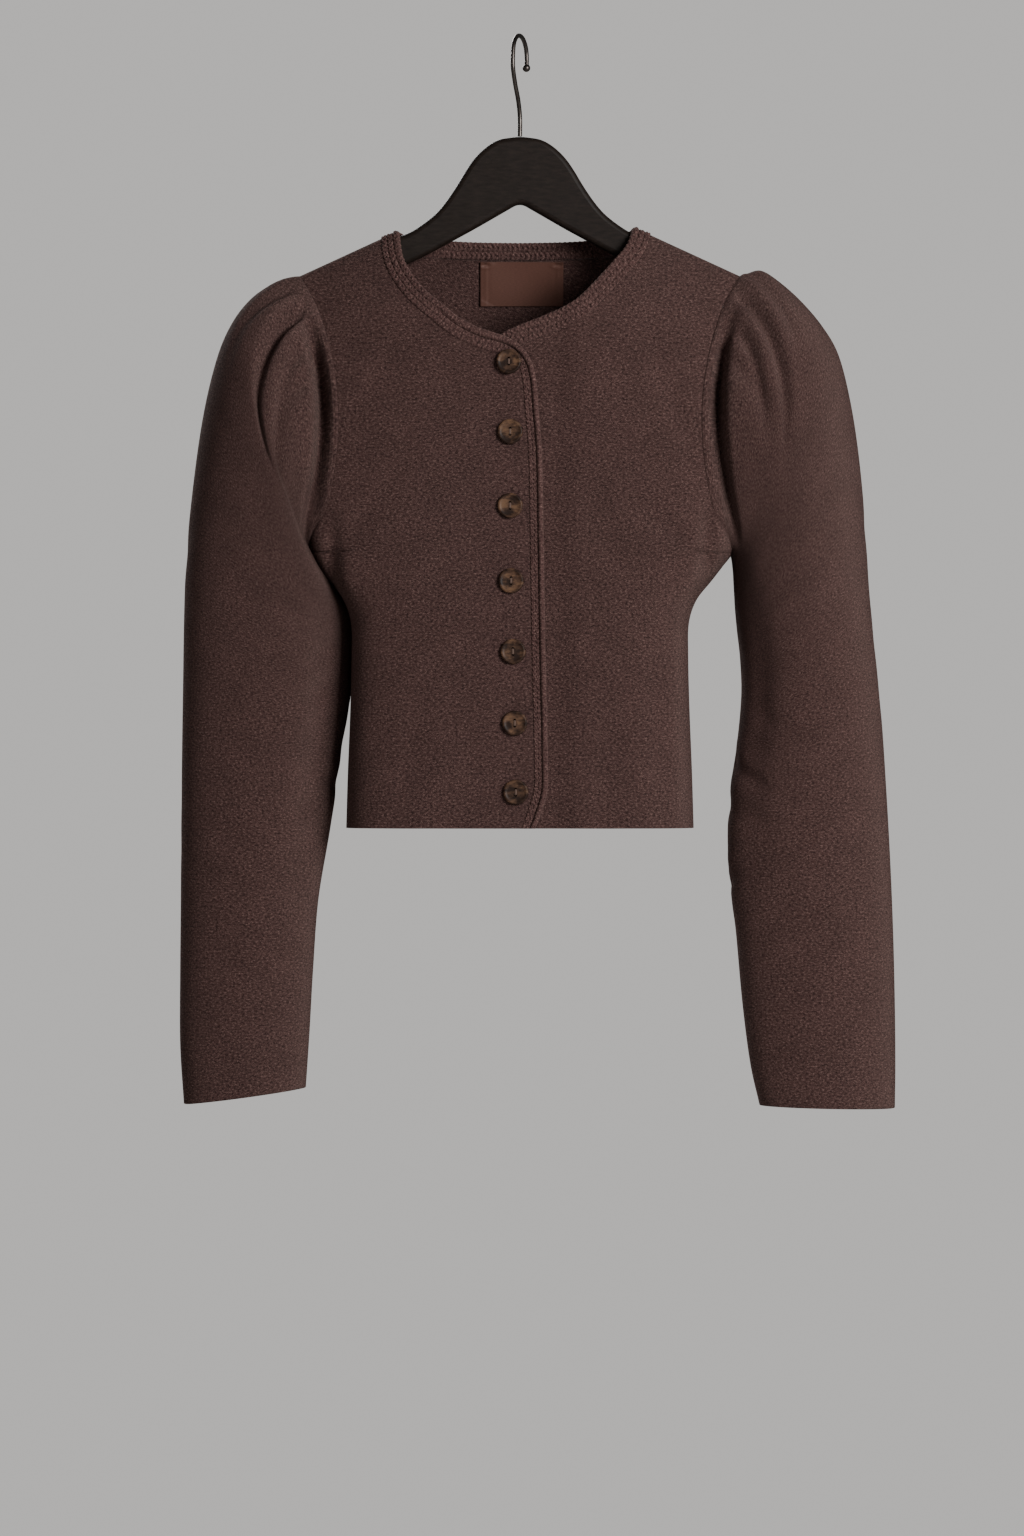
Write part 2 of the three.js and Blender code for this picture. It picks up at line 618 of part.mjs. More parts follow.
function backRow(level, { side, tops }) {
  const end = level < 0 ? sideEnd(level) : armholeEnd(level);
  const shares = tops.map((top) => top.q / SHOULDER_POINT.q);
  const places = rowPlaces({ q: 0, level }, end, shares);
  return places.map((place, j) => {
    const own = level > 0 ? level * tops[j].level : level;
    const top = (tops[j].q / SHOULDER_POINT.q) * end.q;
    const q = lerp(place.q, top, smooth((level - 0.7) / 0.3));
    return bodyPoint(side, 1, q, own);
  });
}

const [backRight, backLeft] = backEdges.map(backColumns);
const backLevels = [...LOWER_LEVELS, ...ARMHOLE_LEVELS, ...CREST_LEVELS];
cardigan.add(mesh('back', wall(
  backLevels.map((level) => [...backRow(level, backRight), ...backRow(level, backLeft).reverse().slice(1)]),
  bodyCentre,
  { seamPlane: true },
), WOOL));

// Levels along one side of the armhole at even shares of its length, from the shoulder down.
function armholeLevels(shares) {
  const fine = [];
  let length = 0;
  for (let i = 0; i <= FINE_STEPS; i += 1) {
    const level = (1 + Math.cos((Math.PI * i) / FINE_STEPS)) / 2;
    const point = bodyPoint(1, -1, armholeEnd(level).q, level);
    if (i > 0) length += point.distanceTo(fine[i - 1].point);
    fine.push({ point, level, length });
  }
  return shares.map((share) => {
    let i = 1;
    while (i < FINE_STEPS && fine[i].length < share * length) i += 1;
    const t = (share * length - fine[i - 1].length) / (fine[i].length - fine[i - 1].length);
    return lerp(fine[i - 1].level, fine[i].level, clamp(t, 0, 1));
  });
}

// Angles round a sleeve, closer together over the pleated head.
function sleeveColumns() {
  const half = [];
  for (let i = 0; i <= SLEEVE_HALF_SEGMENTS; i += 1) {
    const t = i / SLEEVE_HALF_SEGMENTS;
    half.push(0.72 * t + 0.28 * t * t);
  }
  const levels = armholeLevels(half);
  const front = half.map((share, i) => ({ angle: Math.PI * share, face: -1, level: levels[i] }));
  const back = front.slice(1, -1).reverse().map((column) => ({ ...column, face: 1 }));
  return [...front, ...back];
}

// Degrees of a column from the top of the sleeve, the front plus.
function degreesOf(column) {
  return THREE.MathUtils.radToDeg(column.angle) * -column.face;
}

// Depth of the pleats at an angle and a distance from the seam.
function pleatDepth(pleats, degrees, run) {
  let depth = 0;
  for (const pleat of pleats) {
    const angle = pleat.angle + pleat.turn * Math.min(run, PLEAT_TURN_END);
    const off = (degrees - angle) / pleat.width;
    const start = smooth(run / PLEAT_START);
    const fade = 1 - smooth((run - PLEAT_START) / (pleat.reach - PLEAT_START));
    depth += pleat.depth * Math.exp(-off * off) * start * fade;
  }
  return depth;
}

// Depth of the valley that runs down beside the armhole seam.
function channelDepth(degrees, run) {
  const turned = Math.abs(degrees);
  const begin = smooth((turned - CHANNEL.from) / CHANNEL.blend);
  const end = smooth((CHANNEL.to - turned) / CHANNEL.blend);
  const off = (run - CHANNEL.at) / CHANNEL.width;
  const deep = degrees > 0 ? CHANNEL.front : CHANNEL.back;
  return deep * begin * end * Math.exp(-off * off) * smooth(run / CHANNEL.at);
}

function ellipsePoint(ring, column, side) {
  const along = (1 + Math.cos(column.angle)) / 2;
  const x = lerp(ring.inX, ring.outX, along);
  const z = lerp(ring.inZ, ring.outZ, along);
  return new THREE.Vector3(side * x, column.face * ring.depth * Math.sin(column.angle), z);
}

// A sleeve as rings from the armhole to the cuff.
function sleeve(side, table, pleats) {
  const columns = sleeveColumns();
  const first = {
    outX: SHOULDER_POINT.q,
    outZ: SHOULDER_POINT.z,
    inX: ARMHOLE[0].half,
    inZ: UNDERARM_Z,
    depth: 55,
  };
  const armhole = columns.map((column) => {
    const place = armholeEnd(column.level);
    const face = column.angle === 0 || column.angle === Math.PI ? 0 : column.face;
    const point = bodyPoint(side, column.face, place.q, place.level);
    return point.setY(face === 0 ? 0 : point.y);
  });
  const rings = table.map((ring) => columns.map((column, j) => {
    const shift = armhole[j].clone().sub(ellipsePoint(first, column, side));
    return ellipsePoint(ring, column, side).addScaledVector(shift, 1 - ring.free);
  }));
  const start = armhole.map((point, j) => {
    const way = rings[0][j].clone().sub(point).normalize();
    return point.clone().addScaledVector(way, 2 * SEAM_GAP);
  });
  const rows = [start, ...rings];
  const centres = rows.map((row) => (
    row.reduce((sum, point) => sum.add(point), new THREE.Vector3()).divideScalar(row.length)
  ));
  const runs = columns.map(() => 0);
  const pleated = rows.map((row, i) => {
    if (i > 0) row.forEach((point, j) => { runs[j] += point.distanceTo(rows[i - 1][j]); });
    return row.map((point, j) => {
      const inward = centres[i].clone().sub(point).normalize();
      const degrees = degreesOf(columns[j]);
      const depth = pleatDepth(pleats, degrees, runs[0]) + channelDepth(degrees, runs[j]);
      return point.clone().addScaledVector(inward, depth);
    });
  });
  return wall(pleated, (point, i) => centres[i].clone(), { wrap: true });
}

function toManifold(geometry) {
  const bare = geometry.clone();
  bare.deleteAttribute('normal');
  bare.deleteAttribute('uv');
  const merged = mergeVertices(bare, 1e-4);
  return new wasm.Manifold(new wasm.Mesh({
    numProp: 3,
    vertProperties: new Float32Array(merged.attributes.position.array),
    triVerts: new Uint32Array(merged.index.array),
  }));
}

function fromManifold(solid) {
  const got = solid.getMesh();
  const geometry = new THREE.BufferGeometry();
  geometry.setAttribute('position', new THREE.Float32BufferAttribute(got.vertProperties, 3));
  geometry.setIndex(Array.from(got.triVerts));
  geometry.computeVertexNormals();
  return geometry;
}

// A sleeve cut back where its wall comes within the seam gap of a panel.
function fitted(geometry, panels) {
  const steps = [[1, 0, 0], [-1, 0, 0], [0, 1, 0], [0, -1, 0], [0, 0, 1], [0, 0, -1]];
  let solid = toManifold(geometry);
  for (const name of panels) {
    const panel = toManifold(cardigan.getObjectByName(name).geometry);
    for (const step of steps) {
      solid = solid.subtract(panel.translate(step.map((part) => part * SEAM_GAP)));
    }
  }
  const pieces = solid.decompose().sort((a, b) => b.volume() - a.volume());
  return fromManifold(pieces[0]);
}

const rightSleeve = fitted(sleeve(-1, RIGHT_SLEEVE, RIGHT_PLEATS), ['front_right', 'back']);
const leftSleeve = fitted(sleeve(1, LEFT_SLEEVE, LEFT_PLEATS), ['front_left', 'back']);
cardigan.add(mesh('sleeve_right', rightSleeve, WOOL));
cardigan.add(mesh('sleeve_left', leftSleeve, WOOL));

// Woven label on the inside of the back, below the neckband
const labelRows = [];
for (let i = 0; i <= 4; i += 1) {
  const z = lerp(LABEL.top, LABEL.bottom, i / 4);
  const row = [];
  for (let j = 0; j <= 6; j += 1) {
    const x = lerp(LABEL.left, LABEL.right, j / 6);
    row.push(bodyPoint(1, 1, x, levelOf(x, z), WALL + 2 * SEAM_GAP));
  }
  labelRows.push(row);
}
cardigan.add(mesh('label', wall(labelRows, bodyCentre, { thick: LABEL.thick }), SATIN));

// A two-hole button, its axis along Y and its dished face towards -Y.
function buttonGeometry() {
  const { radius, thick, rim, dish } = BUTTON;
  const profile = [
    new THREE.Vector2(0, 0),
    new THREE.Vector2(radius - 1.4, 0),
    new THREE.Vector2(radius, thick * 0.45),
    new THREE.Vector2(radius - 0.6, thick - 0.2),
    new THREE.Vector2(radius - rim - 0.4, thick),
    new THREE.Vector2(radius - rim - 1.6, thick - dish),
    new THREE.Vector2(0, thick - dish),
  ];
  let solid = toManifold(new THREE.LatheGeometry(profile, 14));
  for (const way of [-1, 1]) {
    const hole = new THREE.CylinderGeometry(BUTTON.holeRadius, BUTTON.holeRadius, 3 * thick, 6);
    hole.translate(0, 0, way * BUTTON.holeOffset);
    solid = solid.subtract(toManifold(hole));
  }
  const geometry = fromManifold(solid);
  geometry.rotateX(Math.PI);
  return geometry;
}

// Outward direction of the front at a place.
function frontNormal(x, z) {
  const step = 4;
  const at = (dx, dz) => bodyPoint(1, -1, x + dx, levelOf(x + dx, z + dz));
  const along = at(step, 0).sub(at(-step, 0));
  const up = at(0, step).sub(at(0, -step));
  return along.cross(up).normalize();
}

BUTTON_PLACES.forEach((place, i) => {
  const normal = frontNormal(place.x, place.z);
  const button = mesh(`button_${i + 1}`, buttonGeometry(), HORN);
  button.position.copy(bodyPoint(1, -1, place.x, levelOf(place.x, place.z)));
  button.position.addScaledVector(normal, place.lift);
  button.quaternion.setFromUnitVectors(new THREE.Vector3(0, -1, 0), normal);
  cardigan.add(button);
});

// Shaped wooden hanger, its arms under the shoulder seams
function hangerShape() {
  const arm = [
    new THREE.Vector2(100, ridge(100) - HANGER.drop),
    new THREE.Vector2(HANGER.end, ridge(HANGER.end) - HANGER.drop),
    new THREE.Vector2(HANGER.end + 4, -189),
    new THREE.Vector2(HANGER.end + 2.5, -198),
    new THREE.Vector2(HANGER.end - 3, -202),
  ];
  const half = [
    ...HANGER_TOP.map((row) => new THREE.Vector2(row.x, row.z)),
    ...arm,
    ...HANGER_UNDERSIDE.map((row) => new THREE.Vector2(row.x, row.z)),
  ];
  const mirrored = half.slice(1).reverse().map((point) => new THREE.Vector2(-point.x, point.y));
  return new THREE.Shape([...half, new THREE.Vector2(0, HANGER_NOTCH_Z), ...mirrored]);
}

const hangerGeometry = new THREE.ExtrudeGeometry(hangerShape(), {
  depth: HANGER.thick - 2 * HANGER.bevel,
  bevelEnabled: true,
  bevelThickness: HANGER.bevel,
  bevelSize: HANGER.bevel,
  bevelOffset: -HANGER.bevel,
  bevelSegments: 2,
});
hangerGeometry.rotateX(Math.PI / 2);
hangerGeometry.translate(0, HANGER.thick / 2 - HANGER.bevel, 0);
cardigan.add(mesh('hanger', fromManifold(toManifold(hangerGeometry)), BLACK_WOOD));

// Bent wire hook with a ball on its tip
function hookPoint(forward, z) {
  return new THREE.Vector3(forward * HOOK.turn, forward, z);
}

const hookPath = [
  hookPoint(0, HOOK.foot),
  hookPoint(0, -60),
  hookPoint(-3.5, -48),
  hookPoint(-10, -36),
  hookPoint(-14.6, -24),
];
for (let i = 0; i <= 6; i += 1) {
  const angle = Math.PI * (1 - i / 6);
  const z = HOOK.radius - HOOK.bend + HOOK.bend * Math.sin(angle);
  hookPath.push(hookPoint(HOOK.bend * Math.cos(angle), z));
}
hookPath.push(hookPoint(13.8, HOOK.tip));

function circleShape(radius, sides) {
  const points = [];
  for (let i = 0; i < sides; i += 1) {
    const angle = (2 * Math.PI * i) / sides;
    points.push(new THREE.Vector2(radius * Math.cos(angle), radius * Math.sin(angle)));
  }
  return new THREE.Shape(points);
}

const wire = new THREE.ExtrudeGeometry(circleShape(HOOK.radius, 8), {
  steps: 44,
  extrudePath: new THREE.CatmullRomCurve3(hookPath, false, 'centripetal'),
});
const ball = new THREE.SphereGeometry(HOOK.ball, 10, 7);
ball.translate(...hookPoint(13.8, HOOK.tip).toArray());
cardigan.add(mesh('hook', fromManifold(toManifold(wire).add(toManifold(ball))), DARK_STEEL));

export default cardigan;
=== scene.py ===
# Cropped knitted cardigan with puffed sleeves, buttoned up on a wooden clothes hanger. Lengths are in
# millimetres. The front faces -Y, and the inside top of the hook is the origin.

import math

import bpy
import numpy as np
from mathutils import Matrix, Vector


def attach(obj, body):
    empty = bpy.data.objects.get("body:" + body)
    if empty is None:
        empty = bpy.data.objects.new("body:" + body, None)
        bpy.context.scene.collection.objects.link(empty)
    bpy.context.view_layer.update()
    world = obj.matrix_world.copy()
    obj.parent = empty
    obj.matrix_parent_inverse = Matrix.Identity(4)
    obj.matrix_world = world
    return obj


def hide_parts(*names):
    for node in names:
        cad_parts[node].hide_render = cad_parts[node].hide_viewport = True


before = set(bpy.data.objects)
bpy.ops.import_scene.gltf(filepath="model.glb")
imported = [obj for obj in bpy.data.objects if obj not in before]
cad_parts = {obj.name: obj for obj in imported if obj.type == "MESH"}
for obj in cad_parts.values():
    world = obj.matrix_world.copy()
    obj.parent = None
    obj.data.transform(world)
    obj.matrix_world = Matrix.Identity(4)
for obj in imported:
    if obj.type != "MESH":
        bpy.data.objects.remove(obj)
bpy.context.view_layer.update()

bl_info = {
    "name": "Cardigan on a clothes hanger",
    "version": (1, 0, 0),
    "blender": (4, 5, 0),
    "location": "View3D > Sidebar > Cardigan",
    "description": "Knits, finishes and lights a cropped cardigan on a wooden clothes hanger",
    "category": "Object",
}

MM = 0.001


def table(columns, *rows):
    """A short table: one array for each named column."""
    return {name: np.array([row[i] for row in rows], float) for i, name in enumerate(columns.split())}


# Form of the cloth
SEAM_GAP = 0.3
HEM_Z = -600.0
UNDERARM_Z = -392.0
SHOULDER_Q = 167.0
SHOULDER_Z = -181.0
SHOULDER_SLOPE = 0.46
RIDGE_ROUND = 60.0
CREST_RADIUS = 8.9
CREST_FADE = 40.0
SHOULDER_RUN = 60.0

# Sizes of the bands, the lap and the label
NECKBAND_WIDTH = 14.0
FRONT_BAND_WIDTH = 10.0
BACK_BAND_WIDTH = 12.0
NECK_TO_LAP_RUN = (110.0, 50.0)
LAP_SINK = 3.9
LAP_FLAT_TO = 24.0
LAP_BLEND_TO = 46.0
PLEAT_START = 17.0
PLEAT_TURN_END = 84.0
RIGHT_CORNER_LEVEL = 0.45
LEFT_CORNER_LEVEL = 0.47
BAND_END_SLACK = 0.01
LABEL_X = (-30.0, 33.0)
LABEL_Z = (-167.0, -200.0)

# Body sections from hem (level -1) past the underarm (level 0) to the shoulder (level 1)
BODY = table(
    "level half depth power",
    (-1, 131.5, 67, 4.2),
    (-0.8, 130.3, 64.8, 4.2),
    (-0.55, 128.3, 61.8, 4.2),
    (-0.36, 127.5, 59.4, 4.1),
    (-0.25, 128.2, 57.9, 4),
    (-0.17, 134, 56.8, 3.9),
    (-0.1, 145.5, 55.9, 3.8),
    (-0.05, 153.5, 55.2, 3.8),
    (0, 161, 54.6, 3.8),
    (0.1, 164.5, 53.5, 3.8),
    (0.3, 168, 52.2, 3.9),
    (1, 172, 51, 4),
)

# Half width of the armhole seam, from the underarm up to the shoulder point
ARMHOLE = table(
    "level half",
    (0, 161),
    (0.065, 155),
    (0.15, 145),
    (0.28, 139),
    (0.4, 136.5),
    (0.52, 137),
    (0.65, 141),
    (0.77, 147.5),
    (0.87, 154.5),
    (1, SHOULDER_Q),
)

# Free edges in each side's own outward direction: neck, corner and lap
RIGHT_EDGE = table(
    "q z",
    (92.7, -146.8),
    (89, -168),
    (82, -182),
    (71.4, -195),
    (58.5, -206),
    (45.6, -216.6),
    (32, -224),
    (19, -228.5),
    (8, -232.5),
    (-1, -239),
    (-8, -249),
    (-11.5, -262),
    (-13.5, -285),
    (-16, -317),
    (-17.5, -394),
    (-18.5, -460),
    (-20.3, -549),
    (-20, -572),
    (-16, -587),
    (-11, HEM_Z),
)
LEFT_EDGE = table(
    "q z",
    (86.6, -144),
    (81.5, -158),
    (70, -173),
    (56, -189),
    (44, -201),
    (32.7, -208),
    (17.5, -215),
    (0, -222),
    (-14, -229),
    (-22, -238),
    (-25, -252),
    (-26, -285),
    (-26, -394),
    (-26, HEM_Z),
)
BACK_RIGHT_EDGE = table("q z", (92.7, -146.8), (85, -150), (72, -151.2), (40, -152.6), (0, -153))
BACK_LEFT_EDGE = table("q z", (86.6, -144), (79, -149), (67, -150.8), (40, -152.4), (0, -153))

# Rings of the sleeves: outer and inner point in front view, half depth,
# and how far the armhole's form has faded
RING_COLUMNS = "out_x out_z in_x in_z depth free"
RIGHT_SLEEVE = table(
    RING_COLUMNS,
    (SHOULDER_Q, SHOULDER_Z, 161, UNDERARM_Z, 55, 0),
    (173, -181.5, 160.9, -394.2, 56, 0.25),
    (181, -183.5, 160.7, -396, 60, 0.5),
    (191, -188.5, 160.2, -398, 61.5, 0.72),
    (204, -198, 159.5, -400.5, 62.5, 0.88),
    (216, -212.5, 158, -404, 62.5, 1),
    (226.5, -233, 150.2, -409, 61.5, 1),
    (235, -261, 143.9, -416, 60, 1),
    (242, -295, 136.4, -425, 57.5, 1),
    (248, -338, 130.6, -437, 54.5, 1),
    (252.5, -384, 128.5, -453, 50, 1),
    (255, -434, 128.5, -474, 48, 1),
    (256, -490, 129.6, -504, 46, 1),
    (256.8, -545, 136.5, -547, 43, 1),
    (257.3, -600, 144, -600, 41, 1),
    (257.7, -655, 153, -654, 38, 1),
    (258.2, -710, 157, -706, 35, 1),
    (258.2, -764, 159.8, -755, 33, 1),
    (255.4, -809.4, 162.6, -797, 31, 1),
)
LEFT_SLEEVE = table(
    RING_COLUMNS,
    (SHOULDER_Q, SHOULDER_Z, 161, UNDERARM_Z, 55, 0),
    (173, -177.5, 160.9, -394.2, 57, 0.25),
    (183, -176.5, 161, -396.2, 61, 0.5),
    (196, -184.5, 161.3, -399, 63, 0.72),
    (213, -199.5, 161.6, -402.5, 64, 0.88),
    (229.5, -219, 162, -407.5, 64, 1),
    (242, -241, 162.3, -414, 62.5, 1),
    (251, -276, 162.8, -423, 61, 1),
    (257.5, -318, 163.5, -435, 58.5, 1),
    (262, -368, 165, -451, 55.5, 1),
    (265, -416, 167.3, -472, 51, 1),
    (270, -468, 168.2, -500, 48, 1),
    (275, -520, 165, -536, 46, 1),
    (278.5, -572, 160, -574, 43.5, 1),
    (281.5, -626, 158.3, -624, 41, 1),
    (283.7, -680, 164, -678, 38, 1),
    (285, -735, 169, -733, 35.5, 1),
    (285.4, -780, 175, -779, 33.5, 1),
    (285, -812.4, 182, -810.5, 32, 1),
)

# Pleats of the sleeve heads: angle at the seam from the top (front is plus) and how it turns for each mm,
# depth, half width in degrees, and reach from the seam
PLEAT_COLUMNS = "angle turn depth width reach"
RIGHT_PLEATS = table(
    PLEAT_COLUMNS,
    (10, 0.3, 5, 6, 100),
    (22, 0.78, 13, 6, 108),
    (42, 0.95, 6, 6, 60),
    (62, 0.6, 4.5, 6.5, 80),
    (-12, -0.35, 6, 6, 95),
    (-28, -0.7, 10.5, 6.5, 104),
    (-47, -0.85, 6, 6, 70),
    (-66, -0.5, 4.5, 6.5, 85),
)
LEFT_PLEATS = table(
    PLEAT_COLUMNS,
    (-3, 0.75, 5, 5.5, 75),
    (15, 0.85, 10.5, 6.5, 105),
    (34, 1, 7, 6, 60),
    (58, 0.5, 4.5, 6.5, 90),
    (-18, -0.3, 5.5, 6, 85),
    (-31, -0.75, 9.5, 6.5, 120),
    (-50, -0.8, 6, 6, 75),
    (-68, -0.45, 4.5, 6.5, 80),
)

# Button centres on the right front, and how far each stands off it
BUTTONS = table(
    "x z lift",
    (-8.4, -250.5, 1.6),
    (-7.4, -303, 0.6),
    (-7.4, -358.5, 0.6),
    (-6.7, -415, 0.6),
    (-5.3, -468, 0.6),
    (-4, -521.5, 0.6),
    (-3.2, -573, 0.6),
)

# Rows of the panels' grids, from which the finer rows are worked out
LOWER_LEVELS = [-1, -0.8, -0.55, -0.36, -0.25, -0.17, -0.1, -0.05]
ARMHOLE_LEVELS = [0, 0.06, 0.13, 0.22, 0.32, 0.42, 0.52, 0.62, 0.72, 0.81, 0.88]
CREST_LEVELS = [0.94, 0.968, 0.987, 0.996, 1]
NECK_ROWS = 8
FINE_STEPS = 240


def smooth(t):
    """A soft step from 0 to 1."""
    t = np.clip(t, 0, 1)
    return t * t * (3 - 2 * t)


def lerp(a, b, t):
    return a + (b - a) * t


def unit(vectors):
    """Vectors of length 1 in the given directions."""
    return vectors / np.linalg.norm(vectors, axis=-1, keepdims=True)


def read(data, key, at, column):
    """One column of a table at places along its key, with a smooth curve between the rows."""
    keys = data[key]
    values = data[column]
    order = np.arange(len(keys))
    before = np.maximum(order - 1, 0)
    after = np.minimum(order + 1, len(keys) - 1)
    slopes = (values[after] - values[before]) / (keys[after] - keys[before])
    at = np.clip(at, keys[0], keys[-1])
    i = np.clip(np.searchsorted(keys, at) - 1, 0, len(keys) - 2)
    span = keys[i + 1] - keys[i]
    t = (at - keys[i]) / span
    leave = t * (1 - t) ** 2 * span * slopes[i]
    arrive = t * t * (t - 1) * span * slopes[i + 1]
    return lerp(values[i], values[i + 1], smooth(t)) + leave + arrive


def ridge(q):
    """Height of the shoulder line over a distance from the centre."""
    far = np.abs(q)
    out = np.where(far < RIDGE_ROUND, far**2 / (2 * RIDGE_ROUND) + RIDGE_ROUND / 2, far)
    return SHOULDER_Z + SHOULDER_SLOPE * (SHOULDER_Q - out)


def height_of(q, level):
    below = lerp(HEM_Z, UNDERARM_Z, level + 1)
    return np.where(level <= 0, below, lerp(UNDERARM_Z, ridge(q), level))


def level_of(q, z):
    lower = (z - HEM_Z) / (UNDERARM_Z - HEM_Z) - 1
    return np.where(z <= UNDERARM_Z, lower, (z - UNDERARM_Z) / (ridge(q) - UNDERARM_Z))


def section(level):
    """Half width of the body at a level, and the power of its section's curve."""
    return read(BODY, "level", level, "half"), read(BODY, "level", level, "power")


def depth_of(q, level):
    """Half depth of the body at a distance from the centre and a level."""
    half, power = section(level)
    share = np.clip(1 - (np.abs(q) / half) ** power, 0, 1) ** (1 / power)
    below = np.maximum(ridge(q) - height_of(q, level), 0)
    roll = CREST_RADIUS * np.sqrt(1 - (1 - np.minimum(below / CREST_RADIUS, 1)) ** 2)
    near = np.exp(-below / CREST_FADE)
    run = 1 - np.exp(-np.maximum(below - CREST_RADIUS / 2, 0) / SHOULDER_RUN)
    return roll * (near + (1 - near) * share) + read(BODY, "level", level, "depth") * run * share


def body_points(side, face, q, level, sink=0.0):
    """Points of the body. side is -1 for the wearer's right, face is -1 for the front."""
    depth = depth_of(q, level) + SEAM_GAP / 2 - sink
    return np.stack([side * q, face * depth, height_of(q, level)], axis=-1)


def signed_power(value, power):
    return np.sign(value) * np.abs(value) ** power


def angle_of(q, level):
    half, power = section(level)
    return np.arcsin(np.clip(signed_power(q / half, power / 2), -1, 1))


def distance_of(angle, level):
    half, power = section(level)
    return half * signed_power(np.sin(angle), 2 / power)


def run_lengths(points, axis=0):
    """Distances along the rows or the columns of a grid of points, each from its first point."""
    steps = np.linalg.norm(np.diff(points, axis=axis), axis=-1)
    first = np.zeros_like(np.take(steps, [0], axis=axis))
    return np.concatenate([first, np.cumsum(steps, axis=axis)], axis=axis)


def row_places(start, end, shares):
    """Distances and levels along one row of a panel, at the given shares of its length."""
    t = np.linspace(0, 1, FINE_STEPS + 1)
    level = lerp(start[1], end[1], t)
    angle = lerp(angle_of(*start), angle_of(*end), t)
    run = run_lengths(body_points(1, -1, distance_of(angle, level), level))
    at = np.asarray(shares) * run[-1]
    level = np.interp(at, run, level)
    return distance_of(np.interp(at, run, angle), level), level


def smooth_path(corners, count):
    """A smooth line through the corners."""
    corners = np.asarray(corners, float)
    line = np.vstack([2 * corners[0] - corners[1], corners, 2 * corners[-1] - corners[-2]])
    made = []
    for i in range(len(corners) - 1):
        a, b, c, d = line[i : i + 4]
        ab, bc, cd = (np.linalg.norm(y - x) ** 0.5 for x, y in ((a, b), (b, c), (c, d)))
        leave = ((b - a) / ab - (c - a) / (ab + bc) + (c - b) / bc) * bc
        arrive = ((c - b) / bc - (d - b) / (bc + cd) + (d - c) / cd) * bc
        t = np.linspace(0, 1, count, endpoint=False)[:, None]
        curved = -2 * (c - b) + leave + arrive
        made.append(b + leave * t + (3 * (c - b) - 2 * leave - arrive) * t**2 + curved * t**3)
    return np.vstack([*made, corners[-1:]])


class Edge:
    """A free edge as a curve from the shoulder, with the seam of its band a width further into the cloth."""

    STEPS = 3000
    RIDGE_FADE = 28.0
    END_FADE = 24.0

    def __init__(self, rows, width_at, end_way):
        corners = np.stack([rows["q"], rows["z"]], axis=1)
        corners[0, 1] = ridge(corners[0, 0])
        self.points = smooth_path(corners, self.STEPS // (len(corners) - 1))
        self.run = run_lengths(self.points)
        self.length = self.run[-1]
        self.width_at = width_at
        self.end_way = np.array(end_way, float)

    def at(self, t):
        """Places and directions at shares of the edge's length."""
        run = np.clip(t, 0, 1) * self.length
        point = np.stack([np.interp(run, self.run, self.points[:, k]) for k in (0, 1)], axis=-1)
        slopes = np.gradient(self.points, self.run + 1e-9 * np.arange(len(self.run)), axis=0)
        slopes = unit(slopes)
        way = np.stack([np.interp(run, self.run, slopes[:, k]) for k in (0, 1)], axis=-1)
        return point, way

    def offset(self, t, share):
        """Places a share of the band's width away from the edge."""
        t = np.asarray(t, float)
        point, way = self.at(t)
        normal = np.stack([-way[..., 1], way[..., 0]], axis=-1)
        along_ridge = np.array([1, -SHOULDER_SLOPE]) / math.hypot(1, SHOULDER_SLOPE)
        run = t * self.length
        mixed = unit(lerp(along_ridge, normal, smooth(run / self.RIDGE_FADE)[..., None]))
        at_end = smooth(1 - (self.length - run) / self.END_FADE)[..., None]
        mixed = unit(lerp(mixed, self.end_way, at_end))
        moved = point + mixed * (self.width_at(run) * share)[..., None]
        moved[..., 1] = np.minimum(moved[..., 1], ridge(moved[..., 0]))
        return moved

    def where_level(self, level):
        levels = level_of(self.points[:, 0], self.points[:, 1])
        return float(np.interp(-level, -levels, self.run / self.length))


def armhole_end(level):
    return float(read(ARMHOLE, "level", level, "half")), level


def side_end(level):
    return float(read(BODY, "level", level, "half")), level


def between(values, count):
    """Finer rows between a list's rows."""
    at = np.linspace(0, len(values) - 1, count)
    return np.interp(at, np.arange(len(values)), values)


def front_starts(edge, corner_level):
    """Starts of a front's rows along its free edge, from the hem up to the shoulder."""
    crest = [edge.where_level(level) for level in CREST_LEVELS]
    corner = edge.where_level(corner_level)
    straight = len(ARMHOLE_LEVELS) - NECK_ROWS
    rows = [edge.where_level(level) for level in LOWER_LEVELS]
    rows += [edge.where_level(corner_level * i / straight) for i in range(straight)]
    rows += [lerp(corner, crest[0], i / NECK_ROWS) for i in range(NECK_ROWS)]
    rows += crest
    rows[0] = 1.0
    rows[-1] = 0.0
    return rows


def lap_sink(x):
    """How far the left front lies inwards under the lap."""
    return LAP_SINK * smooth((LAP_BLEND_TO - x) / (LAP_BLEND_TO - LAP_FLAT_TO))


def no_sink(x):
    return np.zeros_like(x)


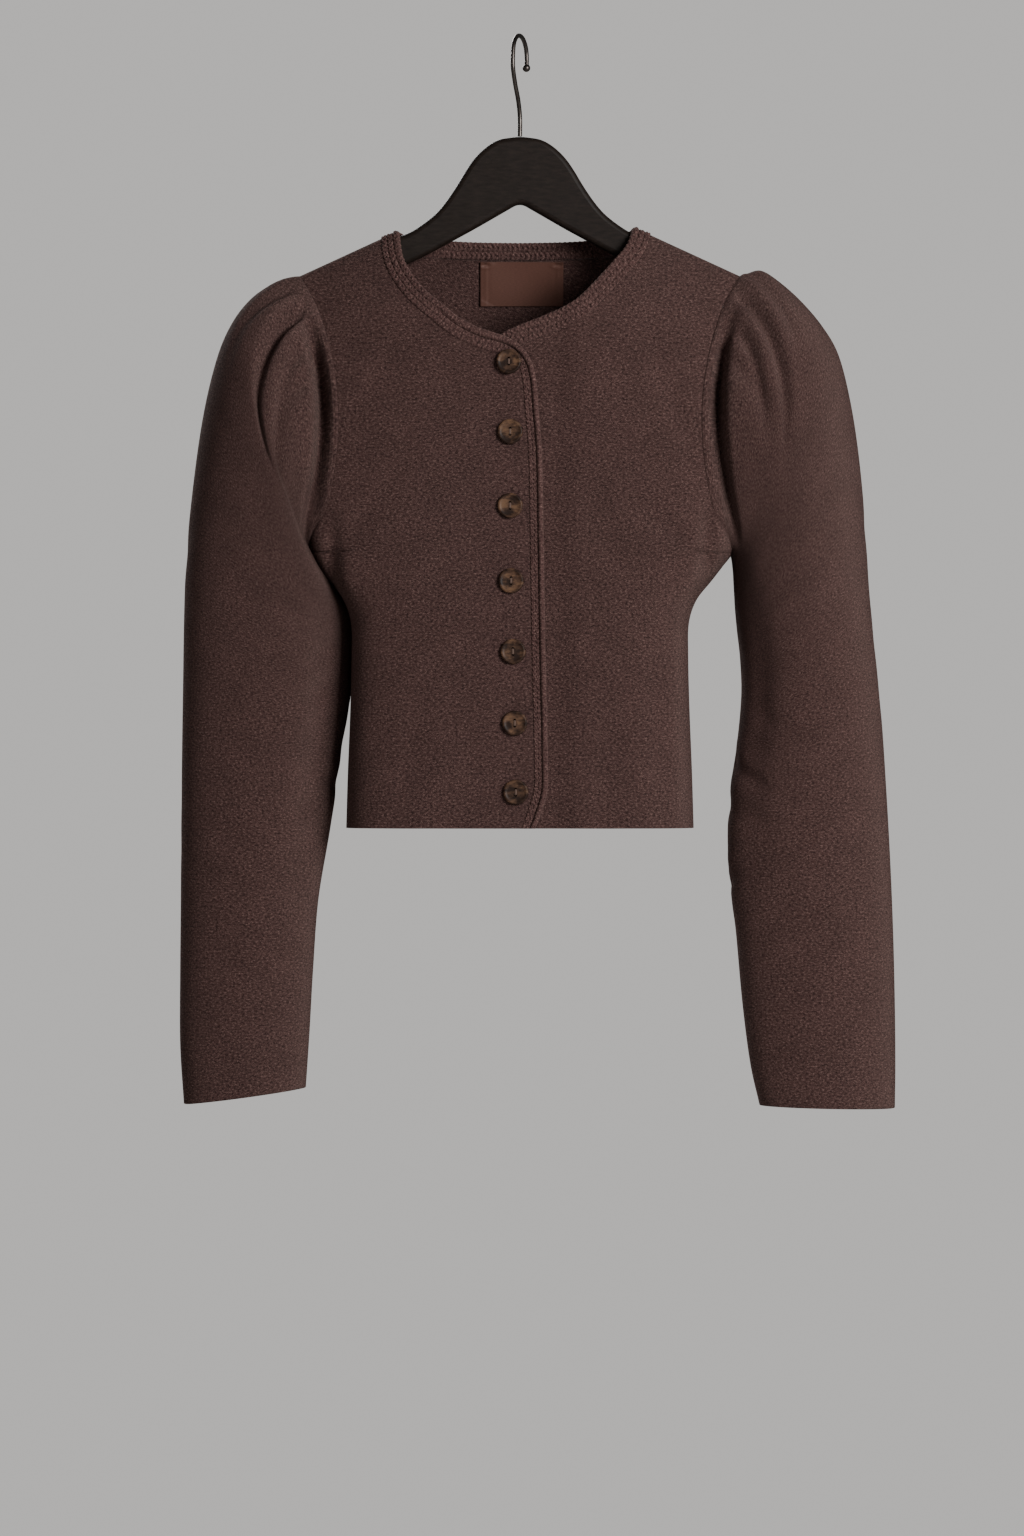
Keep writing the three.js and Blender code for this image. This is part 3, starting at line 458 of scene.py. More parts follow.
# Creases that the hang puts into the body: face, where from, where to, half width, depth
CREASES = table(
    "face x0 z0 x1 z1 width depth",
    (-1, -138, -392, -92, -330, 9, 1.3),
    (-1, 140, -398, 84, -352, 10, 1.5),
    (-1, -140, -450, -141, -376, 6.5, 5.0),
    (-1, 139, -446, 141, -366, 7, 3.8),
    (-1, -128, -300, -96, -238, 8, 0.9),
    (-1, 126, -312, 98, -236, 9, 1.1),
    (-1, -86, -600, -78, -505, 12, 1.2),
    (-1, 62, -600, 70, -525, 11, 1.0),
    (-1, 108, -596, 99, -470, 10, 0.9),
    (-1, -40, -410, -112, -452, 13, 0.8),
    (-1, 38, -300, 66, -392, 14, 0.7),
    (1, -136, -394, -70, -372, 10, 1.6),
    (1, 138, -390, 82, -362, 9, 1.4),
    (1, -52, -600, -44, -490, 14, 1.7),
    (1, 58, -600, 48, -512, 12, 1.3),
    (1, 8, -470, -4, -330, 15, 0.9),
    (1, -104, -250, -62, -222, 9, 1.0),
    (1, 112, -262, 66, -228, 10, 1.1),
    (1, -96, -448, 0, -462, 13, 0.9),
    (1, 104, -436, 22, -456, 12, 1.1),
)
CREASE_FADE = 0.6
CREASE_SWELL = 0.45

# Creases of each sleeve: angle from the top (front is plus), height, half length, half width, depth, slope
SLEEVE_CREASE_COLUMNS = "angle z length width depth slope"
RIGHT_CREASES = table(
    SLEEVE_CREASE_COLUMNS,
    (138, -470, 30, 8, 1.1, 0.5),
    (128, -502, 42, 10, 1.6, 0.35),
    (150, -562, 36, 9, 1.6, -0.3),
    (118, -590, 30, 9, 1.1, 0.4),
    (60, -640, 36, 12, 0.9, -0.5),
    (-138, -486, 34, 9, 1.4, 0.45),
    (-120, -520, 44, 11, 1.7, 0.3),
    (-155, -572, 32, 9, 1.6, -0.35),
    (-70, -610, 40, 12, 1.0, 0.5),
    (-30, -420, 44, 14, 1.2, 0.8),
)
LEFT_CREASES = table(
    SLEEVE_CREASE_COLUMNS,
    (152, -560, 36, 8, 2.3, 0.45),
    (132, -596, 44, 10, 1.9, 0.3),
    (160, -634, 34, 9, 2.0, -0.3),
    (112, -528, 34, 10, 1.2, 0.5),
    (120, -672, 30, 10, 1.2, -0.4),
    (54, -486, 38, 13, 1.0, -0.6),
    (-148, -572, 38, 9, 2.3, 0.4),
    (-124, -612, 42, 11, 1.8, 0.3),
    (-156, -652, 32, 9, 1.7, -0.35),
    (-66, -540, 42, 13, 1.1, 0.6),
    (-28, -400, 46, 14, 1.3, 0.8),
)
SLEEVE_CREASE_SWELL = 0.5


def creased(points, face, strength):
    """Presses the body's creases into its points."""
    for on_face, x0, z0, x1, z1, width, depth in zip(*CREASES.values()):
        if on_face != face:
            continue
        start = np.array([x0, z0])
        along = np.array([x1, z1]) - start
        length = np.linalg.norm(along)
        along /= length
        flat = points[..., [0, 2]] - start
        run = flat @ along
        off = flat @ np.array([-along[1], along[0]])
        fade = CREASE_FADE * length
        ends = smooth(0.5 + run / fade) * smooth(0.5 + (length - run) / fade)
        trough = np.exp(-((off / width) ** 2)) - CREASE_SWELL * np.exp(-((off / width / 2) ** 2))
        points[..., 1] -= face * depth * strength * trough * ends
    return points


def inward_of(points, centre, seam_plane=False):
    """Inward directions of a grid of points."""
    along = np.gradient(points, axis=1)
    across = np.gradient(points, axis=0)
    inward = np.cross(along, across)
    length = np.linalg.norm(inward, axis=-1, keepdims=True)
    inward /= np.maximum(length, 1e-12)
    inward *= np.sign(np.sum(inward * (centre - points)))
    if seam_plane:
        near = np.abs(points[..., 1]) < SEAM_GAP
        inward[near, 1] = 0
        inward = unit(inward)
    return inward


CENTRE_DROP = 20


def body_centre(points):
    """Points on the body's axis, a little below the given ones."""
    centre = np.zeros_like(points)
    centre[..., 2] = points[..., 2] - CENTRE_DROP
    return centre


# Steps of the rounded lip between a wall's outer and inner face
LIP_ANGLES = (np.pi / 4, np.pi / 2, 3 * np.pi / 4)

# How far the lips swell at the first and the last column of a wall
PANEL_LIPS = (0.12, 0.2)
SLEEVE_LIPS = (0.7, 0.7)
NECK_LIPS = (0.9, 0.1)
LAP_LIPS = (1.0, 0.1)
BACK_LIPS = (0.8, 0.1)
LABEL_LIPS = (0.5, 0.5)


def lip(outer, inner, beyond, reach):
    """Loops of points round a wall's edge, which swells outwards by the reach."""
    middle = (outer + inner) / 2
    half = (outer - inner) / 2
    way = outer - beyond
    way /= np.maximum(np.linalg.norm(way, axis=-1, keepdims=True), 1e-9)
    return [middle + half * np.cos(a) + way * reach * np.sin(a) for a in LIP_ANGLES]


def shell(name, outer, inward, flat, thick, lips=PANEL_LIPS, closed=False):
    """A thin shell: the outer face, a lip, the inner face and the other lip, closed round its second axis."""
    inner = outer + inward * np.broadcast_to(np.asarray(thick, float), outer.shape[:2])[..., None]
    last = outer.shape[1] - 1
    far = lip(outer[:, last], inner[:, last], outer[:, last - 1], lips[1])
    near = lip(outer[:, 0], inner[:, 0], outer[:, 1], lips[0])
    loops = [outer[:, j] for j in range(last + 1)] + far
    loops += [inner[:, j] for j in range(last, -1, -1)] + near[::-1]
    flats = [flat[:, j] for j in range(last + 1)] + [flat[:, last]] * len(far)
    flats += [flat[:, j] for j in range(last, -1, -1)] + [flat[:, 0]] * len(near)
    points = np.stack(loops, axis=1)
    flats = np.stack(flats, axis=1)
    rows, columns = points.shape[:2]
    if closed:
        points = points[:-1]
    kept = points.shape[0]
    i, j = np.meshgrid(np.arange(rows - 1), np.arange(columns), indexing="ij")
    i2, j2 = i + 1, (j + 1) % columns

    def corner(a, b):
        return (a % kept) * columns + b

    faces = np.stack([corner(i, j), corner(i2, j), corner(i2, j2), corner(i, j2)], axis=-1).reshape(-1, 4)
    uv = np.stack([flats[i, j], flats[i2, j], flats[i2, j2], flats[i, j2]], axis=-2).reshape(-1, 2)
    caps = []
    cap_uv = []
    if not closed:
        ring = columns - len(near)
        for row in (0, rows - 1):
            base = row * columns
            back = base + ring - 1
            strip = [[base + k, base + k + 1, back - 1 - k, back - k] for k in range(last)]
            strip.append([base + last + k for k in range(len(far) + 2)])
            strip.append([back + k for k in range(len(near) + 1)] + [base])
            if row:
                strip = [face[::-1] for face in strip]
            caps += strip
            cap_uv += [flats.reshape(-1, 2)[corner_id] for face in strip for corner_id in face]
    all_faces = faces.tolist() + caps
    all_uv = np.vstack([uv, *cap_uv]) if cap_uv else uv
    return solid(name, points.reshape(-1, 3), all_faces, all_uv)


def solid(name, points, faces, uv=None, sharp=50.0):
    """A smooth-shaded mesh object from points in millimetres, its faces turned outwards."""
    mesh = bpy.data.meshes.new(name)
    mesh.from_pydata((np.asarray(points) * MM).tolist(), [], [list(map(int, face)) for face in faces])
    if uv is not None:
        layer = mesh.uv_layers.new(name="fabric")
        layer.data.foreach_set("uv", (np.asarray(uv) * MM).ravel().astype(np.float32))
    mesh.shade_smooth()
    mesh.set_sharp_from_angle(angle=math.radians(sharp))
    if signed_volume(mesh) < 0:
        mesh.flip_normals()
    mesh.update()
    return new_object(name, mesh)


def new_object(name, data):
    """An object in the scene from a mesh, a curve, a light or a camera."""
    made = bpy.data.objects.new(name, data)
    bpy.context.scene.collection.objects.link(made)
    return made


def evaluated_mesh(piece):
    """A new mesh of a curve, or of a piece with its modifiers worked out."""
    graph = bpy.context.evaluated_depsgraph_get()
    return bpy.data.meshes.new_from_object(piece.evaluated_get(graph))


def mesh_points(mesh):
    """The points of a mesh, in metres."""
    points = np.zeros(len(mesh.vertices) * 3)
    mesh.vertices.foreach_get("co", points)
    return points.reshape(-1, 3)


def signed_volume(mesh):
    """Six times a mesh's volume, below zero when its faces are turned inwards."""
    mesh.calc_loop_triangles()
    corners = np.zeros(len(mesh.loop_triangles) * 3, np.int32)
    mesh.loop_triangles.foreach_get("vertices", corners)
    a, b, c = mesh_points(mesh)[corners.reshape(-1, 3)].transpose(1, 0, 2)
    return float(np.sum(a * np.cross(b, c)))


def dress(piece, material, slot, *nodes):
    """Gives a piece its material and its place in the frame."""
    piece.data.materials.append(material)
    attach(piece, "root")
    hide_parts(*nodes)
    return piece


def fabric_plan(points, start_u=0.0):
    """Fabric coordinates of a panel: the run along its courses, and the height."""
    run = run_lengths(points[..., :2], axis=1)
    return np.stack([run + np.reshape(start_u, (-1, 1)), points[..., 2]], axis=-1)


PANEL_ROWS = 190
PANEL_COLUMNS = 84
HEM_ROW_SHARE = 0.55


def panel_thickness(points, knit):
    """Thickness of a panel's wall, thinner at its raw hem row."""
    thick = np.full(points.shape[:2], knit.wall / MM)
    thick[0] *= HEM_ROW_SHARE
    return thick


def end_at(level):
    return side_end(level) if level < 0 else armhole_end(level)


def front_panel(name, side, edge, starts, seam_share, sink_at, knit):
    """One front between the seam of its edge band and its side seam, armhole and shoulder."""
    levels = LOWER_LEVELS + ARMHOLE_LEVELS + CREST_LEVELS
    fine_starts = between(starts, PANEL_ROWS)
    fine_levels = between(levels, PANEL_ROWS)
    shares = np.linspace(0, 1, PANEL_COLUMNS)
    rows = []
    from_centre = []
    for i, t in enumerate(fine_starts):
        seam = edge.offset(np.array([t]), np.array([seam_share(t)]))[0]
        start = (seam[0], -1.0 if i == 0 else float(level_of(seam[0], seam[1])))
        q, level = row_places(start, end_at(float(fine_levels[i])), shares)
        rows.append(body_points(side, -1, q, level, sink_at(side * q)))
        from_centre.append(start[0])
    points = creased(np.array(rows), -1, knit.creases)
    inward = inward_of(points, body_centre(points), seam_plane=True)
    plan = fabric_plan(points, from_centre)
    return shell(name, points, inward, plan, panel_thickness(points, knit))


def right_width(run):
    start, span = NECK_TO_LAP_RUN
    return lerp(NECKBAND_WIDTH, FRONT_BAND_WIDTH, smooth((run - start) / span))


def left_width(run):
    return np.full(np.shape(run), NECKBAND_WIDTH)


def back_width(run):
    return np.full(np.shape(run), BACK_BAND_WIDTH)


right_edge = Edge(RIGHT_EDGE, right_width, (1, 0))
left_edge = Edge(LEFT_EDGE, left_width, (1, 0))
back_edges = {
    -1: Edge(BACK_RIGHT_EDGE, back_width, (0, -1)),
    1: Edge(BACK_LEFT_EDGE, back_width, (0, -1)),
}
right_starts = front_starts(right_edge, RIGHT_CORNER_LEVEL)
left_starts = front_starts(left_edge, LEFT_CORNER_LEVEL)
BAND_ROW = len(LOWER_LEVELS) + len(ARMHOLE_LEVELS) - NECK_ROWS + 1


# Form of a chain stitch: mean and swing of its height, slant, shift from column to column, and its dent
LOOP_MEAN = 0.6
LOOP_SWING = 0.4
LOOP_SLANT = 0.5
COLUMN_SHIFT = 0.37
DENT_DEPTH = 0.3
DENT_WIDTH = 0.22


def chain_columns(share, run, columns, pitch, height):
    """Height of rows of chain stitches: each column is a braid of slanting loops."""
    raised = np.zeros(np.broadcast(share, run).shape)
    for number, (middle, half) in enumerate(columns):
        across = np.clip((share - middle) / half, -1, 1)
        phase = run / pitch + LOOP_SLANT * np.abs(across) + COLUMN_SHIFT * number
        loop = LOOP_MEAN + LOOP_SWING * np.cos(2 * np.pi * phase)
        dent = 1 - DENT_DEPTH * np.exp(-((across / DENT_WIDTH) ** 2))
        raised = np.maximum(raised, height * np.sqrt(1 - across**2) * loop * dent)
    return raised


# Chains of each band: middle and half width as shares of the band
NECK_CHAINS = ((1 / 6, 1 / 6), (1 / 2, 1 / 6), (5 / 6, 1 / 6))
LAP_CHAINS = ((0.55, 0.14), (0.83, 0.14))
BACK_CHAINS = ((0.25, 0.25), (0.75, 0.25))
LAP_CHAIN_SHARE = 0.8
BACK_CHAIN_SHARE = 0.9
BACK_RELIEF_TO = 66.0
BACK_RELIEF_FADE = 12
BAND_STEP = 0.55
BAND_COLUMNS = 31
BACK_BAND_COLUMNS = 30

# The lap's rolled edge: middle and half width as shares of the band, its ripple,
# and how deep the band lies behind it
PIPING_AT = 0.19
PIPING_HALF = 0.2
PIPING_MEAN = 0.97
PIPING_RIPPLE = 0.03
PIPING_PITCH = 1.6
PIPING_BLEND = 66.0
LAP_SUNK = 0.8
LAP_SUNK_FROM = 0.08


def neck_relief(share, run, knit):
    return chain_columns(share, run, NECK_CHAINS, knit.chain_pitch / MM, knit.chain_height / MM)


def lap_relief(share, run, knit):
    """Height of the lap's rolled edge and of the two chains behind it."""
    round_over = np.sqrt(np.clip(1 - ((share - PIPING_AT) / PIPING_HALF) ** 2, 0, 1))
    ripple = PIPING_MEAN + PIPING_RIPPLE * np.cos(2 * np.pi * run / PIPING_PITCH)
    piping = (knit.piping_height / MM + LAP_SUNK) * round_over * ripple
    height = LAP_CHAIN_SHARE * knit.chain_height / MM
    chains = chain_columns(share, run, LAP_CHAINS, knit.chain_pitch / MM, height)
    return np.maximum(piping, chains) - LAP_SUNK * smooth(share / LAP_SUNK_FROM)


def right_neck_relief(share, run, knit):
    """The right neckband's chains run out into the lap's piping."""
    turned = smooth((run - NECK_TO_LAP_RUN[0] + PIPING_BLEND) / PIPING_BLEND)
    return lerp(neck_relief(share, run, knit), lap_relief(share, run, knit), turned)


def back_relief(share, run, knit):
    height = BACK_CHAIN_SHARE * knit.chain_height / MM
    return chain_columns(share, run, BACK_CHAINS, knit.chain_pitch / MM, height)


def band(name, side, edge, t_span, relief, sink_at, lips, seam_plane, knit):
    """A knitted band between a free edge and its seam, with its chain stitches raised."""
    count = int(abs(t_span[1] - t_span[0]) * edge.length / BAND_STEP) + 2
    t = np.linspace(*t_span, count)
    shares = np.linspace(0, 1, BAND_COLUMNS)
    flat = edge.offset(t[:, None] * np.ones(BAND_COLUMNS), np.ones((count, 1)) * shares)
    level = level_of(flat[..., 0], flat[..., 1])
    points = body_points(side, -1, flat[..., 0], level, sink_at(side * flat[..., 0]))
    inward = inward_of(points, body_centre(points), seam_plane)
    run = t[:, None] * edge.length
    height = relief(shares[None, :], run, knit)
    width = edge.width_at(run) * shares[None, :]
    plan = np.stack([width, np.broadcast_to(run, width.shape)], axis=-1)
    return shell(name, points - inward * height[..., None], inward, plan, height + knit.wall / MM, lips)


def back_neck_band(knit):
    """The back neckband in one piece over both halves."""
    shares = np.linspace(0, 1, BACK_BAND_COLUMNS)
    halves = []
    for side, edge in back_edges.items():
        count = int(edge.length / BAND_STEP) + 2
        t = np.linspace(0, 1, count)
        flat = edge.offset(t[:, None] * np.ones(BACK_BAND_COLUMNS), np.ones((count, 1)) * shares)
        flat[-1, :, 0] = 0
        points = body_points(side, 1, flat[..., 0], level_of(flat[..., 0], flat[..., 1]))
        halves.append((points, side * (edge.length - t * edge.length)))
    points = np.concatenate([halves[0][0], halves[1][0][::-1][1:]])
    run = np.concatenate([halves[0][1], halves[1][1][::-1][1:]])[:, None]
    inward = inward_of(points, body_centre(points), seam_plane=True)
    height = back_relief(shares[None, :], run, knit)
    plan = np.stack(np.broadcast_arrays(BACK_BAND_WIDTH * shares, run), axis=-1)
    outer = points - inward * height[..., None]
    clear = smooth((BACK_RELIEF_TO - np.abs(run)) / BACK_RELIEF_FADE)
    thick = height + knit.wall / MM + height * clear
    return shell("back_neckband_knit", outer, inward, plan, thick, BACK_LIPS)


# Columns of the back's halves along the shoulder and the neck, how these gather at the shoulder,
# and the levels over which the columns turn upright
SHOULDER_COLUMNS = 34
NECK_COLUMNS = 46
NECK_GATHER = 1.25
UPRIGHT_FROM = 0.7
UPRIGHT_BLEND = 0.3
BACK_PLAN_START = -200.0


def back_tops(side):
    """Top of each column of the back: the shoulder line inwards, then the neck seam to the centre."""
    t = np.linspace(0, 1, NECK_COLUMNS) ** NECK_GATHER
    seam = back_edges[side].offset(t, np.full(NECK_COLUMNS, 1 + SEAM_GAP / BACK_BAND_WIDTH))
    seam[-1, 0] = 0
    level = level_of(seam[:, 0], seam[:, 1])
    level[0] = 1
    shoulder = np.linspace(SHOULDER_Q, seam[0, 0], SHOULDER_COLUMNS, endpoint=False)
    tops = np.concatenate([shoulder, seam[:, 0]])
    return tops, np.concatenate([np.ones(SHOULDER_COLUMNS), level])


def back_panel(knit):
    """The back in one piece, from hem to shoulders and back neck."""
    levels = between(LOWER_LEVELS + ARMHOLE_LEVELS + CREST_LEVELS, PANEL_ROWS)
    tops = {side: back_tops(side) for side in (-1, 1)}
    rows = []
    for level in levels:
        halves = []
        for side in (-1, 1):
            top_q, top_level = tops[side]
            end = end_at(float(level))
            q, _ = row_places((0.0, float(level)), end, top_q / SHOULDER_Q)
            q = lerp(q, top_q / SHOULDER_Q * end[0], smooth((level - UPRIGHT_FROM) / UPRIGHT_BLEND))
            own = level * top_level if level > 0 else np.full_like(q, level)
            halves.append(body_points(side, 1, q, own))
        rows.append(np.concatenate([halves[0], halves[1][::-1][1:]]))
    points = creased(np.array(rows), 1, knit.creases)
    inward = inward_of(points, body_centre(points), seam_plane=True)
    plan = fabric_plan(points, BACK_PLAN_START)
    return shell("back_knit", points, inward, plan, panel_thickness(points, knit))


# Columns and rings of the sleeves: how many, and how they gather at the top and at the armhole
SLEEVE_RINGS = 230
SLEEVE_HALF_COLUMNS = 84
COLUMNS_EVEN = 0.72
COLUMNS_GATHER = 0.28
RINGS_GATHER = 0.9


def sleeve_columns():
    """Angles round a sleeve from the underarm over the back and the top to the front.

    The second array is the armhole's level at each of them.
    """
    t = np.linspace(0, 1, SLEEVE_HALF_COLUMNS)
    share = COLUMNS_EVEN * t + COLUMNS_GATHER * t * t
    level = (1 + np.cos(np.pi * np.linspace(0, 1, FINE_STEPS + 1))) / 2
    half = read(ARMHOLE, "level", level, "half")
    run = run_lengths(body_points(1, -1, half, level))
    front_level = np.interp(share * run[-1], run, level)
    angle = np.concatenate([-np.pi * share[::-1], np.pi * share[1:]])
    return angle, np.concatenate([front_level[::-1], front_level[1:]])


def pleat_depth(pleats, degrees, run):
    """Depth of the pleats at angles and distances from the seam."""
    depth = np.zeros(np.broadcast(degrees, run).shape)
    start = smooth(run / PLEAT_START)
    for angle, turn, deep, width, reach in zip(*pleats.values()):
        fade = 1 - smooth((run - PLEAT_START) / (reach - PLEAT_START))
        turned = angle + turn * np.minimum(run, PLEAT_TURN_END)
        depth += deep * np.exp(-(((degrees - turned) / width) ** 2)) * start * fade
    return depth


# The valley beside the armhole seam: distance from the seam, width, depth,
# and the angles between which it runs
CHANNEL_AT = 11.0
CHANNEL_WIDTH = 6.5
CHANNEL_DEEP = {"front": 18.0, "back": 11.0}
CHANNEL_ANGLES = (30.0, 152.0)
CHANNEL_BLEND = 24.0


def channel_depth(degrees, run):
    """Depth of the valley that runs down beside the armhole seam."""
    turned = np.abs(degrees)
    begin = smooth((turned - CHANNEL_ANGLES[0]) / CHANNEL_BLEND)
    end = smooth((CHANNEL_ANGLES[1] - turned) / CHANNEL_BLEND)
    deep = np.where(degrees > 0, CHANNEL_DEEP["front"], CHANNEL_DEEP["back"])
    off = (run - CHANNEL_AT) / CHANNEL_WIDTH
    return deep * begin * end * np.exp(-(off**2)) * smooth(run / CHANNEL_AT)


def sleeve_creases(creases, degrees, girth, z):
    """Depth of a sleeve's creases at angles and heights."""
    depth = np.zeros(z.shape)
    for angle, at_z, length, width, deep, slope in zip(*creases.values()):
        across = (degrees - angle) / 360 * girth
        off = z - at_z - slope * across
        ends = np.exp(-((across / length) ** 2))
        trough = np.exp(-((off / width) ** 2)) - SLEEVE_CREASE_SWELL * np.exp(-((off / width / 2) ** 2))
        depth += deep * ends * trough
    return depth


# At heights of a sleeve's inner side: how far it swells towards the body,
# and the depth of the hollow in front of that
RIGHT_LEAN = table(
    "z reach hollow",
    (-690, 0, 0),
    (-600, 0, 3.5),
    (-516, 0, 7),
    (-500, 0.75, 7),
    (-474, 1, 6),
    (-456, 1.9, 5),
    (-440, 2.6, 4),
    (-430, 3, 3),
    (-420, 3.2, 1.5),
    (-411, 2.4, 0.6),
    (-400, 0, 0),
)
LEFT_LEAN = table("z reach hollow", (-680, 0, 0), (-600, 0, 2.5), (-520, 0, 4), (-450, 0, 3), (-402, 0, 0))
LEAN_ANGLE = 16.0
HOLLOW_AT = 140.0
HOLLOW_ANGLE = 19.0


def sleeve(name, side, rings, pleats, creases, leans, knit):
    """A sleeve from its armhole seam to its cuff."""
    angle, level = sleeve_columns()
    rings = {"row": np.arange(len(rings["free"]), dtype=float), **rings}
    at = np.linspace(0, 1, SLEEVE_RINGS) ** RINGS_GATHER * rings["row"][-1]
    ring = {column: read(rings, "row", at, column)[:, None] for column in RING_COLUMNS.split()}
    along = (1 + np.cos(angle)) / 2
    face = -np.sign(angle)
    shoulder = {column: rings[column][0] for column in RING_COLUMNS.split()}

    def oval(row):
        x = lerp(row["in_x"], row["out_x"], along)
        z = lerp(row["in_z"], row["out_z"], along)
        return np.stack([side * x, -row["depth"] * np.sin(angle) + 0 * x, z + 0 * x], axis=-1)

    half = read(ARMHOLE, "level", level, "half")
    armhole = body_points(side, -1, half, level)
    armhole[:, 1] = np.abs(armhole[:, 1]) * face
    points = oval(ring) + (armhole - oval(shoulder)) * np.clip(1 - ring["free"], 0, 1)[..., None]
    first = points[3] - points[0]
    points[0] += SEAM_GAP * first / np.linalg.norm(first, axis=-1, keepdims=True)
    centres = np.broadcast_to(points.mean(axis=1, keepdims=True), points.shape)
    top = len(angle) // 2
    runs = run_lengths(points)
    run = runs[:, top : top + 1]
    degrees = np.degrees(angle)[None, :]
    towards = unit(centres - points)
    girth = np.linalg.norm(np.diff(points, axis=1), axis=-1).sum(axis=1)[:, None]
    press = pleat_depth(pleats, degrees, run) + channel_depth(degrees, runs)
    press += knit.creases * sleeve_creases(creases, degrees, girth, points[..., 2])
    within = np.exp(-(((degrees - HOLLOW_AT) / HOLLOW_ANGLE) ** 2))
    press += read(leans, "z", points[..., 2], "hollow") * within
    near = np.exp(-(((180 - np.abs(degrees)) / LEAN_ANGLE) ** 2))
    reach = read(leans, "z", points[..., 2], "reach") * near
    points = points + towards * press[..., None]
    points[..., 0] -= side * reach
    inward = inward_of(points, centres)
    inward[:, 0] = inward[:, -1] = (inward[:, 1] + inward[:, -2]) / 2
    around = run_lengths(points, axis=1)
    around -= around[:, top : top + 1]
    plan = np.stack([around, np.broadcast_to(-run, around.shape)], axis=-1)
    outer, turned, flat = (np.swapaxes(a, 0, 1) for a in (points, inward, plan))
    return shell(name, outer, turned, flat, knit.wall / MM, SLEEVE_LIPS, closed=True)


def front_normal(x, z, step=4.0):
    """Outward direction of the front at a place."""
    def at(dx, dz):
        return body_points(1, -1, np.array(x + dx), level_of(x + dx, z + dz))

    normal = np.cross(at(step, 0) - at(-step, 0), at(0, step) - at(0, -step))
    return normal / np.linalg.norm(normal)


def ring_faces(rings, sides):
    """Faces between each ring of points and the one after it."""
    faces = []
    for r in range(rings - 1):
        for k in range(sides):
            n = (k + 1) % sides
            faces.append((r * sides + k, r * sides + n, (r + 1) * sides + n, (r + 1) * sides + k))
    return faces


def lathe(profile, segments):
    """Points and faces of a turned body: its profile is radius and height from the axis out and back."""
    points = []
    rings = profile[1:-1]
    for radius, height in rings:
        for k in range(segments):
            a = 2 * math.pi * k / segments
            points.append((radius * math.cos(a), radius * math.sin(a), height))
    low, high = len(points), len(points) + 1
    points += [(0, 0, profile[0][1]), (0, 0, profile[-1][1])]
    faces = ring_faces(len(rings), segments)
    end = (len(rings) - 1) * segments
    for k in range(segments):
        n = (k + 1) % segments
        faces.append((low, n, k))
        faces.append((high, end + k, end + n))
    return np.array(points), faces


LEAST_NORMAL = 0.3


def tube(path, radius, sides):
    """Points and faces of a round wire along a path, its ends closed."""
    ways = unit(np.gradient(path, axis=0))
    normal = np.cross(ways[0], (1, 0, 0))
    if np.linalg.norm(normal) < LEAST_NORMAL:
        normal = np.cross(ways[0], (0, 1, 0))
    points = []
    for centre, way in zip(path, ways):
        normal = normal - way * np.dot(normal, way)
        normal /= np.linalg.norm(normal)
        other = np.cross(way, normal)
        for k in range(sides):
            a = 2 * math.pi * k / sides
            points.append(centre + radius * (normal * math.cos(a) + other * math.sin(a)))
    faces = ring_faces(len(path), sides)
    faces.append(tuple(range(sides))[::-1])
    faces.append(tuple((len(path) - 1) * sides + k for k in range(sides)))
    return np.array(points), faces


def join_parts(*parts):
    """One set of points and faces from several."""
    points = []
    faces = []
    for part_points, part_faces in parts:
        start = sum(len(p) for p in points)
        points.append(part_points)
        faces += [tuple(start + k for k in face) for face in part_faces]
    return np.vstack(points), faces


# Half outline of the hanger: over the hump, out along the arm and back along the underside
HANGER_HALF = table(
    "x z",
    (0, -75),
    (16, -77),
    (25.5, -82.5),
    (34.6, -91.2),
    (41.3, -101),
    (48, -112.5),
    (55.7, -124),
    (63.5, -133.5),
    (73, -141.2),
    (84, -148.4),
    (100, -153.58),
    (158, -180.26),
    (162, -189),
    (160.5, -198),
    (155, -202),
    (150, -201),
    (110, -183.5),
    (72, -165.7),
    (34, -145),
)
HANGER_NOTCH_Z = -125.4
HANGER_THICK = 11.0
HANGER_BEVEL = 4.0
HANGER_CUTS = (3.0, 1.5, 0.8)
BEVEL_STEPS = 4

# Run of the hook's wire, forwards and height, its bend and its ball
HOOK_STEM = ((0, -74.7), (0, -60), (-3.5, -48), (-10, -36), (-14.6, -24))
HOOK_TIP = (13.8, -21)
HOOK_RADIUS = 1.7
HOOK_BEND = 14.5
HOOK_TURN = 0.36
HOOK_BALL = 3.0
BEND_STEPS = 6
WIRE_STEPS = 24
WIRE_SIDES = 20
BALL_STEPS = 20
BALL_SEGMENTS = 28


def cut_corners(points, most):
    """A closed outline with its corners cut back, by a quarter of each side or by the given most."""
    made = []
    for point, following in zip(points, np.roll(points, -1, axis=0)):
        way = following - point
        share = min(0.25, most / np.linalg.norm(way))
        made += [point + way * share, following - way * share]
    return np.array(made)


